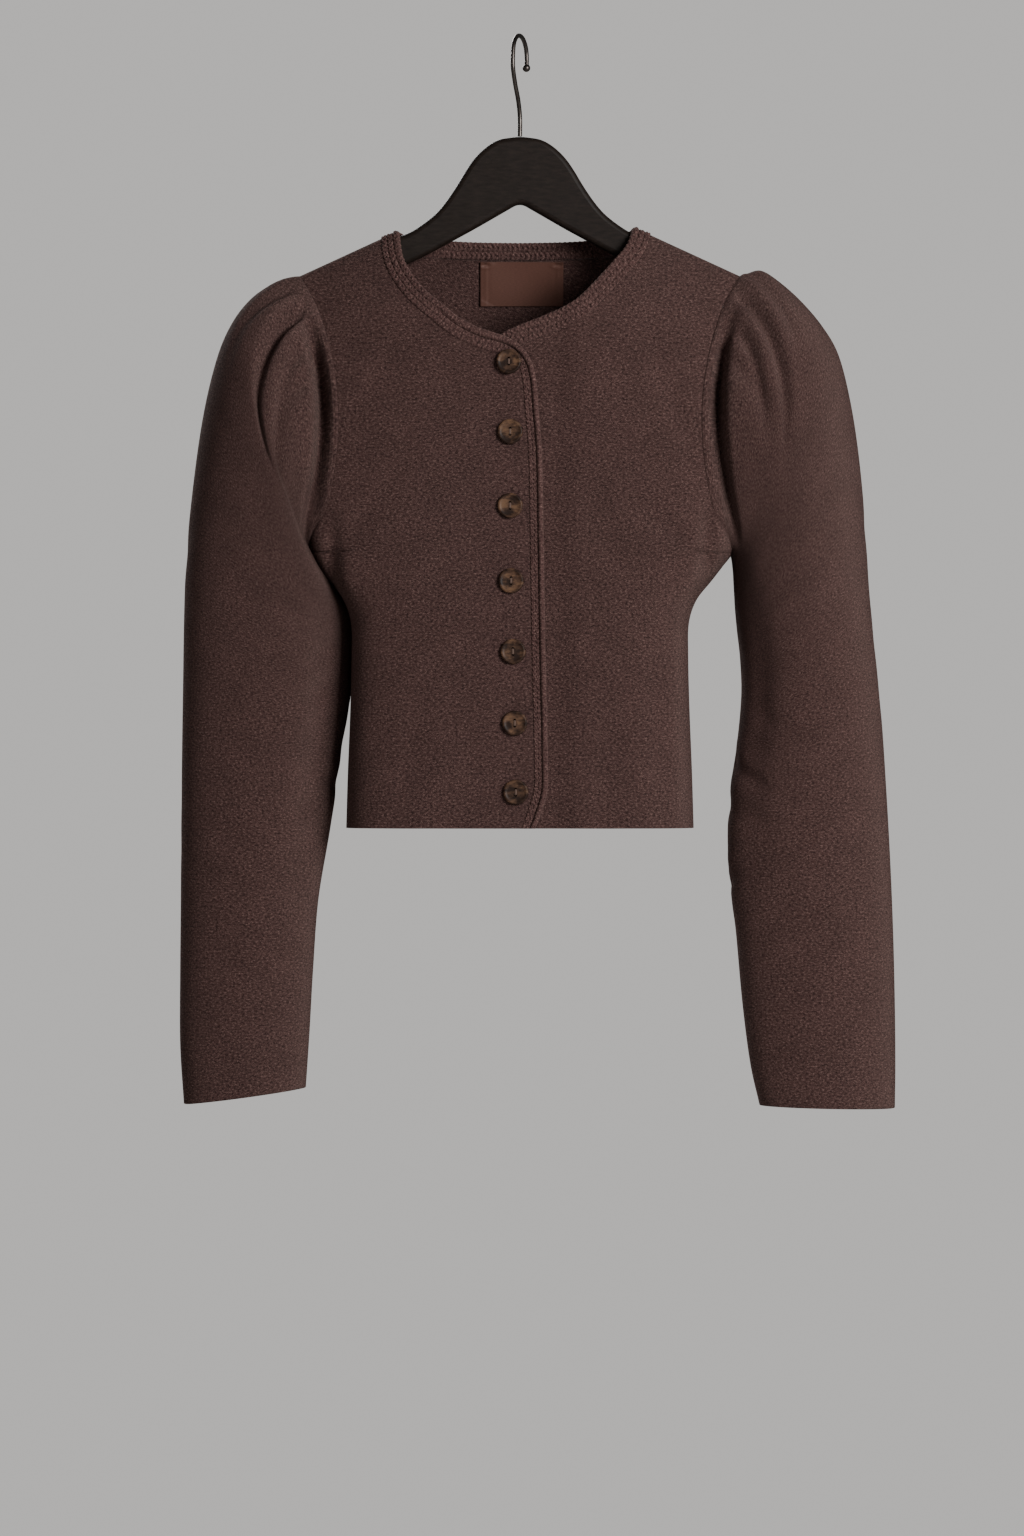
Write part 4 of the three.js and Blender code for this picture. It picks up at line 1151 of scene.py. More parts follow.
def flat_body(name, outline, thick, bevel):
    """An upright board with rounded edges from a closed outline in front view."""
    curve = bpy.data.curves.new(name, "CURVE")
    curve.dimensions = "2D"
    curve.fill_mode = "BOTH"
    curve.extrude = (thick / 2 - bevel) * MM
    curve.bevel_depth = bevel * MM
    curve.bevel_resolution = BEVEL_STEPS
    curve.offset = -bevel * MM
    spline = curve.splines.new("POLY")
    spline.points.add(len(outline) - 1)
    spline.use_cyclic_u = True
    for point, (x, z) in zip(spline.points, outline):
        point.co = (x * MM, z * MM, 0, 1)
    shape = new_object(name, curve)
    mesh = evaluated_mesh(shape)
    bpy.data.objects.remove(shape)
    points = mesh_points(mesh) / MM
    faces = [tuple(face.vertices) for face in mesh.polygons]
    upright = np.stack([points[:, 0], -points[:, 2], points[:, 1]], axis=1)
    return solid(name, upright, faces, sharp=30)


def hanger():
    half = np.stack([HANGER_HALF["x"], HANGER_HALF["z"]], axis=1)
    mirrored = half[:0:-1] * (-1, 1)
    outline = np.vstack([half, [[0, HANGER_NOTCH_Z]], mirrored])
    for most in HANGER_CUTS:
        outline = cut_corners(outline, most)
    return flat_body("hanger_wood", outline, HANGER_THICK, HANGER_BEVEL)


def hook():
    path = [(HOOK_TURN * forward, forward, z) for forward, z in HOOK_STEM]
    for i in range(BEND_STEPS + 1):
        angle = math.pi * (1 - i / BEND_STEPS)
        forward = HOOK_BEND * math.cos(angle)
        path.append((HOOK_TURN * forward, forward, HOOK_RADIUS - HOOK_BEND + HOOK_BEND * math.sin(angle)))
    tip = np.array((HOOK_TURN * HOOK_TIP[0], *HOOK_TIP))
    wire = tube(smooth_path([*path, tip], WIRE_STEPS), HOOK_RADIUS, WIRE_SIDES)
    turns = [math.pi * i / BALL_STEPS for i in range(BALL_STEPS + 1)]
    profile = [(HOOK_BALL * math.sin(turn), -HOOK_BALL * math.cos(turn)) for turn in turns]
    ball_points, ball_faces = lathe(profile, BALL_SEGMENTS)
    return solid("hook_wire", *join_parts(wire, (ball_points + tip, ball_faces)))


# Turned profile of a button: radius and height off its back
BUTTON_PROFILE = (
    (0, 0),
    (7.6, 0),
    (8.4, 0.25),
    (9.1, 0.8),
    (9.4, 1.4),
    (9.35, 2.1),
    (9.05, 2.65),
    (8.6, 2.92),
    (8.15, 3.0),
    (7.7, 2.95),
    (7.2, 2.72),
    (6.7, 2.55),
    (6.0, 2.47),
    (4.5, 2.42),
    (2.0, 2.4),
    (0, 2.4),
)
BUTTON_SEGMENTS = 72
HOLE_RADIUS = 1.05
HOLE_OFFSET = 2.2
HOLE_FROM = -1
HOLE_TO = 4
HOLE_SEGMENTS = 28

# Strands of thread: sideways place and height of each, and the run that all of them take
STRANDS = ((-0.42, 2.62), (0.12, 2.78), (0.5, 2.58))
STRAND_RADIUS = 0.26
STRAND_STEPS = 8
STRAND_SIDES = 8
STRAND_GATHER = 0.7
STRAND_LOW = 0.6
STRAND_RISE = 2.2
STRAND_IN = 0.35
STRAND_FLAT = 1.1


def button_shape():
    """A turned button with two holes, its face towards +Z."""
    body = solid("button_body", *lathe(BUTTON_PROFILE, BUTTON_SEGMENTS), sharp=40)
    profile = ((0, HOLE_FROM), (HOLE_RADIUS, HOLE_FROM), (HOLE_RADIUS, HOLE_TO), (0, HOLE_TO))
    for way in (-1, 1):
        hole_points, hole_faces = lathe(profile, HOLE_SEGMENTS)
        hole = solid("button_hole", hole_points + (0, way * HOLE_OFFSET, 0), hole_faces)
        cut = body.modifiers.new("hole", "BOOLEAN")
        cut.operation = "DIFFERENCE"
        cut.object = hole
        made = evaluated_mesh(body)
        body.modifiers.clear()
        body.data = made
        bpy.data.objects.remove(hole)
    mesh = body.data
    bpy.data.objects.remove(body)
    return mesh_points(mesh) / MM, [tuple(face.vertices) for face in mesh.polygons]


def thread_shape():
    """Strands of thread that pass between the two holes."""
    strands = []
    for offset, height in STRANDS:
        half = [
            (offset * STRAND_GATHER, HOLE_OFFSET, STRAND_LOW),
            (offset, HOLE_OFFSET - STRAND_IN, STRAND_RISE),
            (offset, STRAND_FLAT, height),
        ]
        path = [(x, -y, z) for x, y, z in half] + half[::-1]
        strands.append(tube(smooth_path(path, STRAND_STEPS), STRAND_RADIUS, STRAND_SIDES))
    return join_parts(*strands)


def set_on_front(points, place):
    """Moves points from a button's own frame onto the right front."""
    normal = front_normal(place["x"], place["z"])
    base = body_points(1, -1, np.array(place["x"]), level_of(place["x"], place["z"])) + normal * place["lift"]
    up = np.array((0, 0, 1.0)) - normal * normal[2]
    up /= np.linalg.norm(up)
    across = np.cross(up, normal)
    return base + points @ np.array([across, up, normal])


# The label: its grid, the cloth that it lies on, its folded edges, its waves,
# and the stitches that tack its top corners down
LABEL_GRID = (76, 46)
BACK_WALL = 2.4
LABEL_THICK = 0.8
LABEL_LEAST = 0.25
LABEL_FOLD = 4.6
FOLD_HEIGHT = 0.42
FOLD_STEP = 0.7
MITRE_HEIGHT = 0.3
MITRE_STEP = 0.8
MITRE_SLOPE = 0.5
SWELL_HEIGHT = 0.55
SWELL_RUN = 9
RIPPLE_HEIGHT = 0.22
RIPPLE_LENGTH = 9.3
RIPPLE_SLANT = 0.08
RIPPLE_RUN = 6
TACK_IN = 3.4
TACK_DOWN = 2.2
TACK_STRETCH = 2.2
TACK_DEPTH = 1.1
TACK_WIDTH = 1.1
PUCKER_HEIGHT = 0.35
PUCKER_AT = 2.3
PUCKER_WIDTH = 0.9


def woven_label():
    """The plain label, its side edges folded in and its top corners caught down by stitches."""
    (left, right), (top, bottom) = LABEL_X, LABEL_Z
    x, z = np.meshgrid(np.linspace(left, right, LABEL_GRID[0]), np.linspace(top, bottom, LABEL_GRID[1]))
    points = body_points(1, 1, x, level_of(x, z), BACK_WALL + 2 * SEAM_GAP)
    side_run = np.minimum(x - left, right - x)
    lower_run = z - bottom
    fold = FOLD_HEIGHT * (1 - smooth((side_run - LABEL_FOLD) / FOLD_STEP))
    mitre = MITRE_HEIGHT * (1 - smooth((lower_run + MITRE_SLOPE * side_run - LABEL_FOLD) / MITRE_STEP))
    wave = np.sin(np.pi * np.clip(lower_run / (top - bottom), 0, 1))
    swell = SWELL_HEIGHT * wave * smooth(side_run / SWELL_RUN)
    ripple = RIPPLE_HEIGHT * np.sin(x / RIPPLE_LENGTH + RIPPLE_SLANT * z) * smooth(side_run / RIPPLE_RUN)
    thick = LABEL_THICK + fold + mitre + swell + ripple
    for corner in (left + TACK_IN, right - TACK_IN):
        away = np.hypot((x - corner) / TACK_STRETCH, z - (top - TACK_DOWN))
        thick -= TACK_DEPTH * np.exp(-((away / TACK_WIDTH) ** 2))
        thick += PUCKER_HEIGHT * np.exp(-(((away - PUCKER_AT) / PUCKER_WIDTH) ** 2))
    inward = inward_of(points, body_centre(points))
    plan = np.stack([x, z], axis=-1)
    return shell("label_satin", points, inward, plan, np.maximum(thick, LABEL_LEAST), LABEL_LIPS)


# Materials


class Nodes:
    """Adds nodes to a tree and joins them."""

    def __init__(self, tree):
        self.tree = tree
        self.tree.nodes.clear()

    def put(self, value, socket):
        """Joins a node's output to a socket, or sets the socket's own value."""
        if isinstance(value, bpy.types.NodeSocket):
            self.tree.links.new(value, socket)
        else:
            socket.default_value = value

    def add(self, kind, inputs=None, **settings):
        """A new node, with its settings made before its inputs are put in."""
        made = self.tree.nodes.new("ShaderNode" + kind)
        for name, value in settings.items():
            setattr(made, name, value)
        for name, value in (inputs or {}).items():
            self.put(value, made.inputs[name])
        return made

    def math(self, operation, *values):
        return self.add("Math", dict(enumerate(values)), operation=operation).outputs[0]

    def mix(self, factor, a, b):
        """A colour between two, through the colour sockets of a mix node."""
        return self.add("Mix", {0: factor, 6: a, 7: b}, data_type="RGBA").outputs[2]

    def noise(self, vector, scale, detail=2.0, rough=0.5):
        values = {"Vector": vector, "Scale": scale, "Detail": detail, "Roughness": rough}
        return self.add("TexNoise", values).outputs["Fac"]

    def spread(self, value, low, high):
        """A value's range from low to high as 0 to 1."""
        values = {"Value": value, "From Min": low, "From Max": high}
        return self.add("MapRange", values, clamp=True).outputs["Result"]

    def stretch(self, vector, factors):
        return self.add("VectorMath", {0: vector, 1: factors}, operation="MULTIPLY").outputs[0]


def effect(name, inputs, outputs):
    """A shader node group with named inputs and outputs."""
    group = bpy.data.node_groups.new(name, "ShaderNodeTree")
    made = Nodes(group)
    for label, kind, value in inputs:
        socket = group.interface.new_socket(name=label, in_out="INPUT", socket_type="NodeSocket" + kind)
        if value is not None:
            socket.default_value = value
    for label, kind in outputs:
        group.interface.new_socket(name=label, in_out="OUTPUT", socket_type="NodeSocket" + kind)
    start = group.nodes.new("NodeGroupInput")
    end = group.nodes.new("NodeGroupOutput")
    return group, made, start.outputs, end.inputs


# A V-shaped stitch: how its yarn wanders, the slant and fullness of its legs, and the painted shade that its
# height puts into the colour of the hollows between stitches
WANDER_SCALE = 120.0
WANDER_M = (0.0006, 0.0005, 0)
LEG_SLANT = 0.62
LEG_FULLNESS = 0.6
RUNG_SHARE = 0.65
PAINTED_SHADE_LOW = 0.62
PAINTED_SHADE_RISE = 0.5


def knit_stitches():
    """Columns of V-shaped stitches: their height, and a painted shade that darkens the colour where each
    stitch is low.
    """
    group, made, given, wanted = effect(
        "Knit stitches",
        [("Fabric", "Vector", None), ("Stitch Width", "Float", 0.0015), ("Stitch Height", "Float", 0.0012)],
        [("Height", "Float"), ("Shade", "Float")],
    )
    wander = made.add("TexNoise", {"Vector": given["Fabric"], "Scale": WANDER_SCALE}).outputs["Color"]
    drift = made.stretch(wander, WANDER_M)
    moved = made.add("VectorMath", {0: given["Fabric"], 1: drift}, operation="ADD").outputs[0]
    parts = made.add("SeparateXYZ", {0: moved}).outputs
    wale = made.math("DIVIDE", parts["X"], given["Stitch Width"])
    course = made.math("DIVIDE", parts["Y"], given["Stitch Height"])
    across = made.math("ABSOLUTE", made.math("SUBTRACT", made.math("FRACT", wale), 0.5))
    across = made.math("MULTIPLY", across, 2.0)
    phase = made.math("FRACT", made.math("SUBTRACT", course, made.math("MULTIPLY", across, LEG_SLANT)))
    rung = made.math("SINE", made.math("MULTIPLY", phase, math.pi))
    leg = made.math("SINE", made.math("MULTIPLY", across, math.pi))
    leg = made.math("POWER", leg, LEG_FULLNESS)
    rise = made.math("ADD", 1 - RUNG_SHARE, made.math("MULTIPLY", rung, RUNG_SHARE))
    height = made.math("MULTIPLY", leg, rise)
    made.put(height, wanted["Height"])
    # Painted shade: the colour darkens where the stitch is low, standing in for the shade in the hollows
    # between stitches.
    shade = made.math("ADD", PAINTED_SHADE_LOW, made.math("MULTIPLY", height, PAINTED_SHADE_RISE))
    made.put(shade, wanted["Shade"])
    return group


# Heathered yarn: how strong its flecks are, and how soft patches lighten and darken it
FLECK_SHARE = 0.8
PATCH_LOW = 0.9
PATCH_RISE = 0.2


def heathered_yarn():
    """Wool colour that varies from fibre to fibre, with lighter and darker flecks, darkened by the painted
    shade of the stitches.
    """
    group, made, given, wanted = effect(
        "Heathered yarn",
        [
            ("Fabric", "Vector", None),
            ("Wool", "Color", (0.1, 0.06, 0.05, 1)),
            ("Fleck", "Color", (0.3, 0.2, 0.2, 1)),
            ("Dark", "Color", (0.02, 0.01, 0.01, 1)),
            ("Shade", "Float", 1.0),
        ],
        [("Color", "Color"), ("Fuzz", "Float")],
    )
    fibres = made.noise(made.stretch(given["Fabric"], (1.0, 1.5, 1.0)), scale=520.0, detail=4.0, rough=0.8)
    flecks = made.spread(fibres, low=0.5, high=0.64)
    clumps = made.noise(made.stretch(given["Fabric"], (1.0, 1.35, 1.0)), scale=430.0, detail=3.0, rough=0.75)
    darks = made.spread(clumps, low=0.52, high=0.37)
    soft = made.spread(made.noise(given["Fabric"], scale=40.0, detail=3.0), low=0.3, high=0.7)
    colour = made.mix(made.math("MULTIPLY", flecks, FLECK_SHARE), given["Wool"], given["Fleck"])
    colour = made.mix(made.math("MULTIPLY", darks, FLECK_SHARE), colour, given["Dark"])
    patches = made.math("ADD", PATCH_LOW, made.math("MULTIPLY", soft, PATCH_RISE))
    # The Shade input is the stitches' painted shade; it darkens the colour together with the soft patches.
    tone = made.math("MULTIPLY", given["Shade"], patches)
    scaled = made.add("VectorMath", {0: colour, "Scale": tone}, operation="SCALE")
    made.put(scaled.outputs[0], wanted["Color"])
    made.put(fibres, wanted["Fuzz"])
    return group


def surface(name, roughness, **fixed):
    """A material with a principled shader, whose fixed values are set on its own sockets."""
    material = bpy.data.materials.new(name)
    material.use_nodes = True
    made = Nodes(material.node_tree)
    shader = made.add("BsdfPrincipled", {"Roughness": roughness})
    dress_shader(made, shader, **fixed)
    made.add("OutputMaterial", {"Surface": shader.outputs[0]})
    return material, made, shader


def dress_shader(made, shader, **sockets):
    """Puts values or nodes' outputs into a shader's sockets, whose names have _ for a space."""
    for label, value in sockets.items():
        made.put(value, shader.inputs[label.replace("_", " ")])


def rgba(colour):
    return (*colour, 1.0)


FUZZ_SHARE = 0.9
WOOL_RELIEF_M = 0.0009


def wool(name, knit, colours, stitch, bump, lightness):
    """Knitted wool, from the fabric's own coordinates."""
    stitches = bpy.data.node_groups.get("Knit stitches") or knit_stitches()
    yarn = bpy.data.node_groups.get("Heathered yarn") or heathered_yarn()
    sheen = {"Sheen_Weight": knit.sheen, "Sheen_Roughness": 0.55, "Sheen_Tint": rgba(colours.sheen)}
    material, made, shader = surface(name, 0.95, **sheen, Specular_IOR_Level=0.1)
    fabric = made.add("UVMap", uv_map="fabric").outputs[0]
    sizes = {"Stitch Width": knit.stitch_width * stitch, "Stitch Height": knit.stitch_height * stitch}
    loops = made.add("Group", {"Fabric": fabric, **sizes}, node_tree=stitches)
    tones = {"Wool": colours.wool, "Fleck": colours.fleck, "Dark": colours.wool_dark}
    tones = {label: rgba([lightness * part for part in colour]) for label, colour in tones.items()}
    # The stitches' painted shade goes into the yarn's colour here.
    given = {"Fabric": fabric, "Shade": loops.outputs["Shade"], **tones}
    mixed = made.add("Group", given, node_tree=yarn)
    fuzz = made.math("MULTIPLY", mixed.outputs["Fuzz"], FUZZ_SHARE)
    height = made.math("ADD", loops.outputs["Height"], fuzz)
    relief = made.add("Bump", {"Strength": bump, "Distance": WOOL_RELIEF_M, "Height": height})
    dress_shader(made, shader, Base_Color=mixed.outputs["Color"], Normal=relief.outputs[0])
    return material


STREAK_SHARE = 0.5
AMBER_SHARE = 0.75


def horn(colours):
    """Polished horn with cloudy patches and streaks."""
    polish = {"Coat_Weight": 0.02, "Coat_Roughness": 0.2, "Specular_IOR_Level": 0.1}
    material, made, shader = surface("Horn", 0.48, **polish)
    place = made.add("NewGeometry").outputs["Position"]
    clouds = made.noise(made.stretch(place, (1.0, 1.0, 1.5)), scale=105.0, detail=4.0, rough=0.62)
    streaks = made.noise(made.stretch(place, (1.0, 1.0, 3.2)), scale=260.0, detail=3.0, rough=0.55)
    patches = made.spread(clouds, low=0.42, high=0.62)
    colour = made.mix(patches, rgba(colours.horn_dark), rgba(colours.horn))
    both = made.math("ADD", clouds, made.math("MULTIPLY", streaks, STREAK_SHARE))
    light = made.spread(both, low=0.8, high=0.96)
    colour = made.mix(made.math("MULTIPLY", light, AMBER_SHARE), colour, rgba(colours.horn_light))
    dress_shader(made, shader, Base_Color=colour)
    return material


SATIN_ROWS = 11000.0
SATIN_ROW_SHARE = 0.08


def satin(colours):
    """Plain woven satin with fine cross threads."""
    material, made, shader = surface(
        "Label satin", 0.55, Sheen_Weight=0.08, Sheen_Roughness=0.4, Specular_IOR_Level=0.2
    )
    fabric = made.add("UVMap", uv_map="fabric").outputs[0]
    parts = made.add("SeparateXYZ", {0: fabric}).outputs
    rows = made.math("SINE", made.math("MULTIPLY", parts["Y"], SATIN_ROWS))
    grain = made.noise(made.stretch(fabric, (1.0, 7.0, 1.0)), scale=480.0, detail=3.0, rough=0.6)
    tone = made.math("ADD", made.math("MULTIPLY", rows, SATIN_ROW_SHARE), grain)
    shade = made.spread(tone, low=0.3, high=0.75)
    colour = made.mix(shade, rgba(colours.label_dark), rgba(colours.label))
    relief = made.add("Bump", {"Strength": 0.35, "Distance": 0.0002, "Height": tone})
    dress_shader(made, shader, Base_Color=colour, Normal=relief.outputs[0])
    return material


WOOD_ROUGH = 0.4
WOOD_WEAR = 0.22


def black_wood(colours):
    """Matt black stain over fine wood grain that runs along the arms."""
    material, made, shader = surface("Black wood", 0.5, Specular_IOR_Level=0.16)
    place = made.add("NewGeometry").outputs["Position"]
    grain = made.noise(made.stretch(place, (0.12, 1.0, 0.5)), scale=900.0, detail=4.0, rough=0.6)
    wear = made.noise(place, scale=45.0, detail=3.0)
    shade = made.spread(grain, low=0.35, high=0.7)
    colour = made.mix(shade, rgba(colours.wood), rgba(colours.wood_grain))
    rough = made.math("ADD", WOOD_ROUGH, made.math("MULTIPLY", wear, WOOD_WEAR))
    relief = made.add("Bump", {"Strength": 0.12, "Distance": 0.0003, "Height": grain})
    dress_shader(made, shader, Base_Color=colour, Roughness=rough, Normal=relief.outputs[0])
    return material


STEEL_ROUGH = 0.24
STEEL_TARNISH = 0.25


def dark_steel(colours):
    """Burnished dark steel wire."""
    material, made, shader = surface("Dark steel", 0.3, Metallic=1.0)
    place = made.add("NewGeometry").outputs["Position"]
    tarnish = made.noise(place, scale=160.0, detail=4.0, rough=0.6)
    shade = made.spread(tarnish, low=0.35, high=0.65)
    colour = made.mix(shade, rgba(colours.steel), rgba(colours.steel_dark))
    rough = made.math("ADD", STEEL_ROUGH, made.math("MULTIPLY", tarnish, STEEL_TARNISH))
    dress_shader(made, shader, Base_Color=colour, Roughness=rough)
    return material


def plain(name, colour, roughness):
    """A material of one colour."""
    return surface(name, roughness, Base_Color=rgba(colour))[0]


# Settings


def length(name, description, default):
    return bpy.props.FloatProperty(
        name=name, description=description, default=default,
        min=0, precision=5, subtype="DISTANCE", unit="LENGTH",
    )


def share(name, description, default):
    return bpy.props.FloatProperty(name=name, description=description, default=default, min=0)


def paint(name, description, default):
    return bpy.props.FloatVectorProperty(
        name=name, description=description, default=default, size=3, min=0, max=1, subtype="COLOR"
    )


class CardiganKnit(bpy.types.PropertyGroup):
    wall: length("Wall", "Thickness of the knitted cloth", 0.0023)
    stitch_width: length("Stitch width", "Width of one column of stitches", 0.0015)
    stitch_height: length("Stitch height", "Height of one row of stitches", 0.00125)
    chain_pitch: length("Chain pitch", "Length of one chain stitch on the bands", 0.0038)
    chain_height: length("Chain height", "How far the chain stitches stand out", 0.0018)
    piping_height: length("Piping height", "How far the rolled edge of the lap stands out", 0.0022)
    creases: share("Creases", "Strength of the soft creases", 1.7)
    sheen: share("Sheen", "Strength of the fuzz on the wool", 0.16)


class CardiganColours(bpy.types.PropertyGroup):
    wool: paint("Wool", "Main colour of the wool", (0.086, 0.0435, 0.04))
    fleck: paint("Fleck", "Light flecks in the wool", (0.29, 0.175, 0.152))
    wool_dark: paint("Wool shade", "Dark flecks in the wool", (0.016, 0.007, 0.0075))
    sheen: paint("Fuzz", "Colour of the fuzz on the wool", (0.62, 0.44, 0.38))
    horn: paint("Horn", "Main colour of the buttons", (0.09, 0.048, 0.03))
    horn_dark: paint("Horn shade", "Dark patches of the buttons", (0.02, 0.011, 0.008))
    horn_light: paint("Horn amber", "Light patches of the buttons", (0.15, 0.083, 0.045))
    thread: paint("Thread", "Thread of the buttons", (0.13, 0.08, 0.06))
    label: paint("Label", "Main colour of the label", (0.13, 0.058, 0.042))
    label_dark: paint("Label shade", "Darker threads of the label", (0.08, 0.035, 0.026))
    wood: paint("Wood", "Black stain of the hanger", (0.0105, 0.0068, 0.0052))
    wood_grain: paint("Wood grain", "Lighter grain of the hanger", (0.02, 0.0135, 0.0105))
    steel: paint("Steel", "Wire of the hook", (0.1, 0.088, 0.08))
    steel_dark: paint("Steel shade", "Darker tarnish of the wire", (0.06, 0.05, 0.045))


class CardiganStudio(bpy.types.PropertyGroup):
    floor: paint("Floor", "Colour of the floor", (0.62, 0.6, 0.58))
    surround: paint("Surround", "Colour of the light all round", (0.8, 0.78, 0.76))
    surround_strength: share("Surround strength", "Strength of the light all round", 0.125)
    backdrop_strength: share("Backdrop strength", "How light the surround looks behind the cardigan", 0.72)
    key_power: share("Key light", "Power of the main light in watts", 106.0)
    fill_power: share("Fill light", "Power of the fill light in watts", 5.0)
    back_power: share("Back light", "Power of the light behind in watts", 78.0)
    floor_level: bpy.props.FloatProperty(
        name="Floor level", description="Height of the floor", default=-1.9, subtype="DISTANCE", unit="LENGTH"
    )
    camera_distance: length("Camera distance", "How far the camera stands in front", 4.0)
    camera_lens: bpy.props.FloatProperty(
        name="Lens", description="Focal length of the camera", default=123.35,
        subtype="DISTANCE_CAMERA", unit="CAMERA",
    )


def knit_material(context, kind):
    """The wool of the panels or of the bands, made when it is first needed."""
    knit = context.scene.cardigan_knit
    colours = context.scene.cardigan_colours
    found = bpy.data.materials.get(kind)
    if found:
        return found
    if kind == "Wool knit":
        return wool(kind, knit, colours, stitch=1.0, bump=0.8, lightness=1.0)
    return wool(kind, knit, colours, stitch=0.75, bump=0.5, lightness=1.05)


class CardiganPiece:
    bl_options = {"REGISTER"}

    def execute(self, context):
        self.build(context, context.scene.cardigan_knit, context.scene.cardigan_colours)
        return {"FINISHED"}


class CARDIGAN_OT_right_front(CardiganPiece, bpy.types.Operator):
    """Knit the right front, its neckband and the band down its lap"""

    bl_idname = "cardigan.right_front"
    bl_label = "Right front"

    def build(self, context, knit, colours):
        def seam_share(t):
            return 1 + SEAM_GAP / float(right_width(t * right_edge.length))

        cloth = knit_material(context, "Wool knit")
        band_cloth = knit_material(context, "Wool band")
        panel = front_panel("right_front_knit", -1, right_edge, right_starts, seam_share, no_sink, knit)
        dress(panel, cloth, "wool_knit", "front_right")
        neck_from = right_starts[BAND_ROW]
        neck = band(
            "right_neckband_knit", -1, right_edge, (neck_from, 0), right_neck_relief, no_sink,
            NECK_LIPS, seam_plane=True, knit=knit,
        )
        dress(neck, band_cloth, "wool_band", "neckband_right")
        lap_to = neck_from + SEAM_GAP / right_edge.length
        lap = band(
            "lap_band_knit", -1, right_edge, (1, lap_to), lap_relief, no_sink,
            LAP_LIPS, seam_plane=False, knit=knit,
        )
        dress(lap, band_cloth, "wool_band", "front_band")


class CARDIGAN_OT_left_front(CardiganPiece, bpy.types.Operator):
    """Knit the left front, which runs on under the lap, and its neckband"""

    bl_idname = "cardigan.left_front"
    bl_label = "Left front"

    def build(self, context, knit, colours):
        band_end = left_starts[BAND_ROW]

        def seam_share(t):
            past = (t - band_end) * left_edge.length
            return 1 + SEAM_GAP / NECKBAND_WIDTH if past <= BAND_END_SLACK else 0.0

        cloth = knit_material(context, "Wool knit")
        panel = front_panel("left_front_knit", 1, left_edge, left_starts, seam_share, lap_sink, knit)
        dress(panel, cloth, "wool_knit", "front_left")
        neck = band(
            "left_neckband_knit", 1, left_edge, (band_end, 0), neck_relief, lap_sink,
            NECK_LIPS, seam_plane=True, knit=knit,
        )
        dress(neck, knit_material(context, "Wool band"), "wool_band", "neckband_left")


class CARDIGAN_OT_back(CardiganPiece, bpy.types.Operator):
    """Knit the back and its neckband"""

    bl_idname = "cardigan.back"
    bl_label = "Back"

    def build(self, context, knit, colours):
        panel = dress(back_panel(knit), knit_material(context, "Wool knit"), "wool_knit", "back")
        neck = dress(back_neck_band(knit), knit_material(context, "Wool band"), "wool_band", "neckband_back")


class CARDIGAN_OT_sleeves(CardiganPiece, bpy.types.Operator):
    """Knit both sleeves"""

    bl_idname = "cardigan.sleeves"
    bl_label = "Sleeves"

    def build(self, context, knit, colours):
        cloth = knit_material(context, "Wool knit")
        right = sleeve("right_sleeve_knit", -1, RIGHT_SLEEVE, RIGHT_PLEATS, RIGHT_CREASES, RIGHT_LEAN, knit)
        dress(right, cloth, "wool_knit", "sleeve_right")
        left = sleeve("left_sleeve_knit", 1, LEFT_SLEEVE, LEFT_PLEATS, LEFT_CREASES, LEFT_LEAN, knit)
        dress(left, cloth, "wool_knit", "sleeve_left")


class CARDIGAN_OT_buttons(CardiganPiece, bpy.types.Operator):
    """Turn the seven horn buttons and sew them on"""

    bl_idname = "cardigan.buttons"
    bl_label = "Buttons"

    def build(self, context, knit, colours):
        material = horn(colours)
        thread = plain("Thread", colours.thread, 0.8)
        points, faces = button_shape()
        strand_points, strand_faces = thread_shape()
        for number in range(len(BUTTONS["x"])):
            place = {name: values[number] for name, values in BUTTONS.items()}
            button = solid(f"horn_button_{number + 1}", set_on_front(points, place), faces, sharp=32)
            dress(button, material, "horn", f"button_{number + 1}")
            strand = solid(f"button_thread_{number + 1}", set_on_front(strand_points, place), strand_faces)
            dress(strand, thread, "wool_band")


class CARDIGAN_OT_label(CardiganPiece, bpy.types.Operator):
    """Weave the plain label inside the back neck"""

    bl_idname = "cardigan.label"
    bl_label = "Label"

    def build(self, context, knit, colours):
        label = dress(woven_label(), satin(colours), "label_satin", "label")


class CARDIGAN_OT_hanger(CardiganPiece, bpy.types.Operator):
    """Shape the wooden hanger and bend its hook"""

    bl_idname = "cardigan.hanger"
    bl_label = "Hanger"

    def build(self, context, knit, colours):
        dress(hanger(), black_wood(colours), "black_wood", "hanger")
        dress(hook(), dark_steel(colours), "dark_steel", "hook")


# The stage: where each light stands, what it points at and how wide it is
LIGHTS_M = {
    "key": ((1.75, -2.5, 0.3), (0, 0, -0.5), 1.2),
    "fill": ((-2.1, -2.2, -0.1), (0, 0, -0.5), 1.8),
    "back": ((-1.2, 2.4, 1.1), (0, 0, -0.4), 1.5),
}
FLOOR_CORNERS_M = ((-4.5, -4.5), (4.5, -4.5), (4.5, 4.5), (-4.5, 4.5))
CAMERA_X_M = -0.006
CAMERA_Z_M = -0.5548
SENSOR_WIDTH = 36


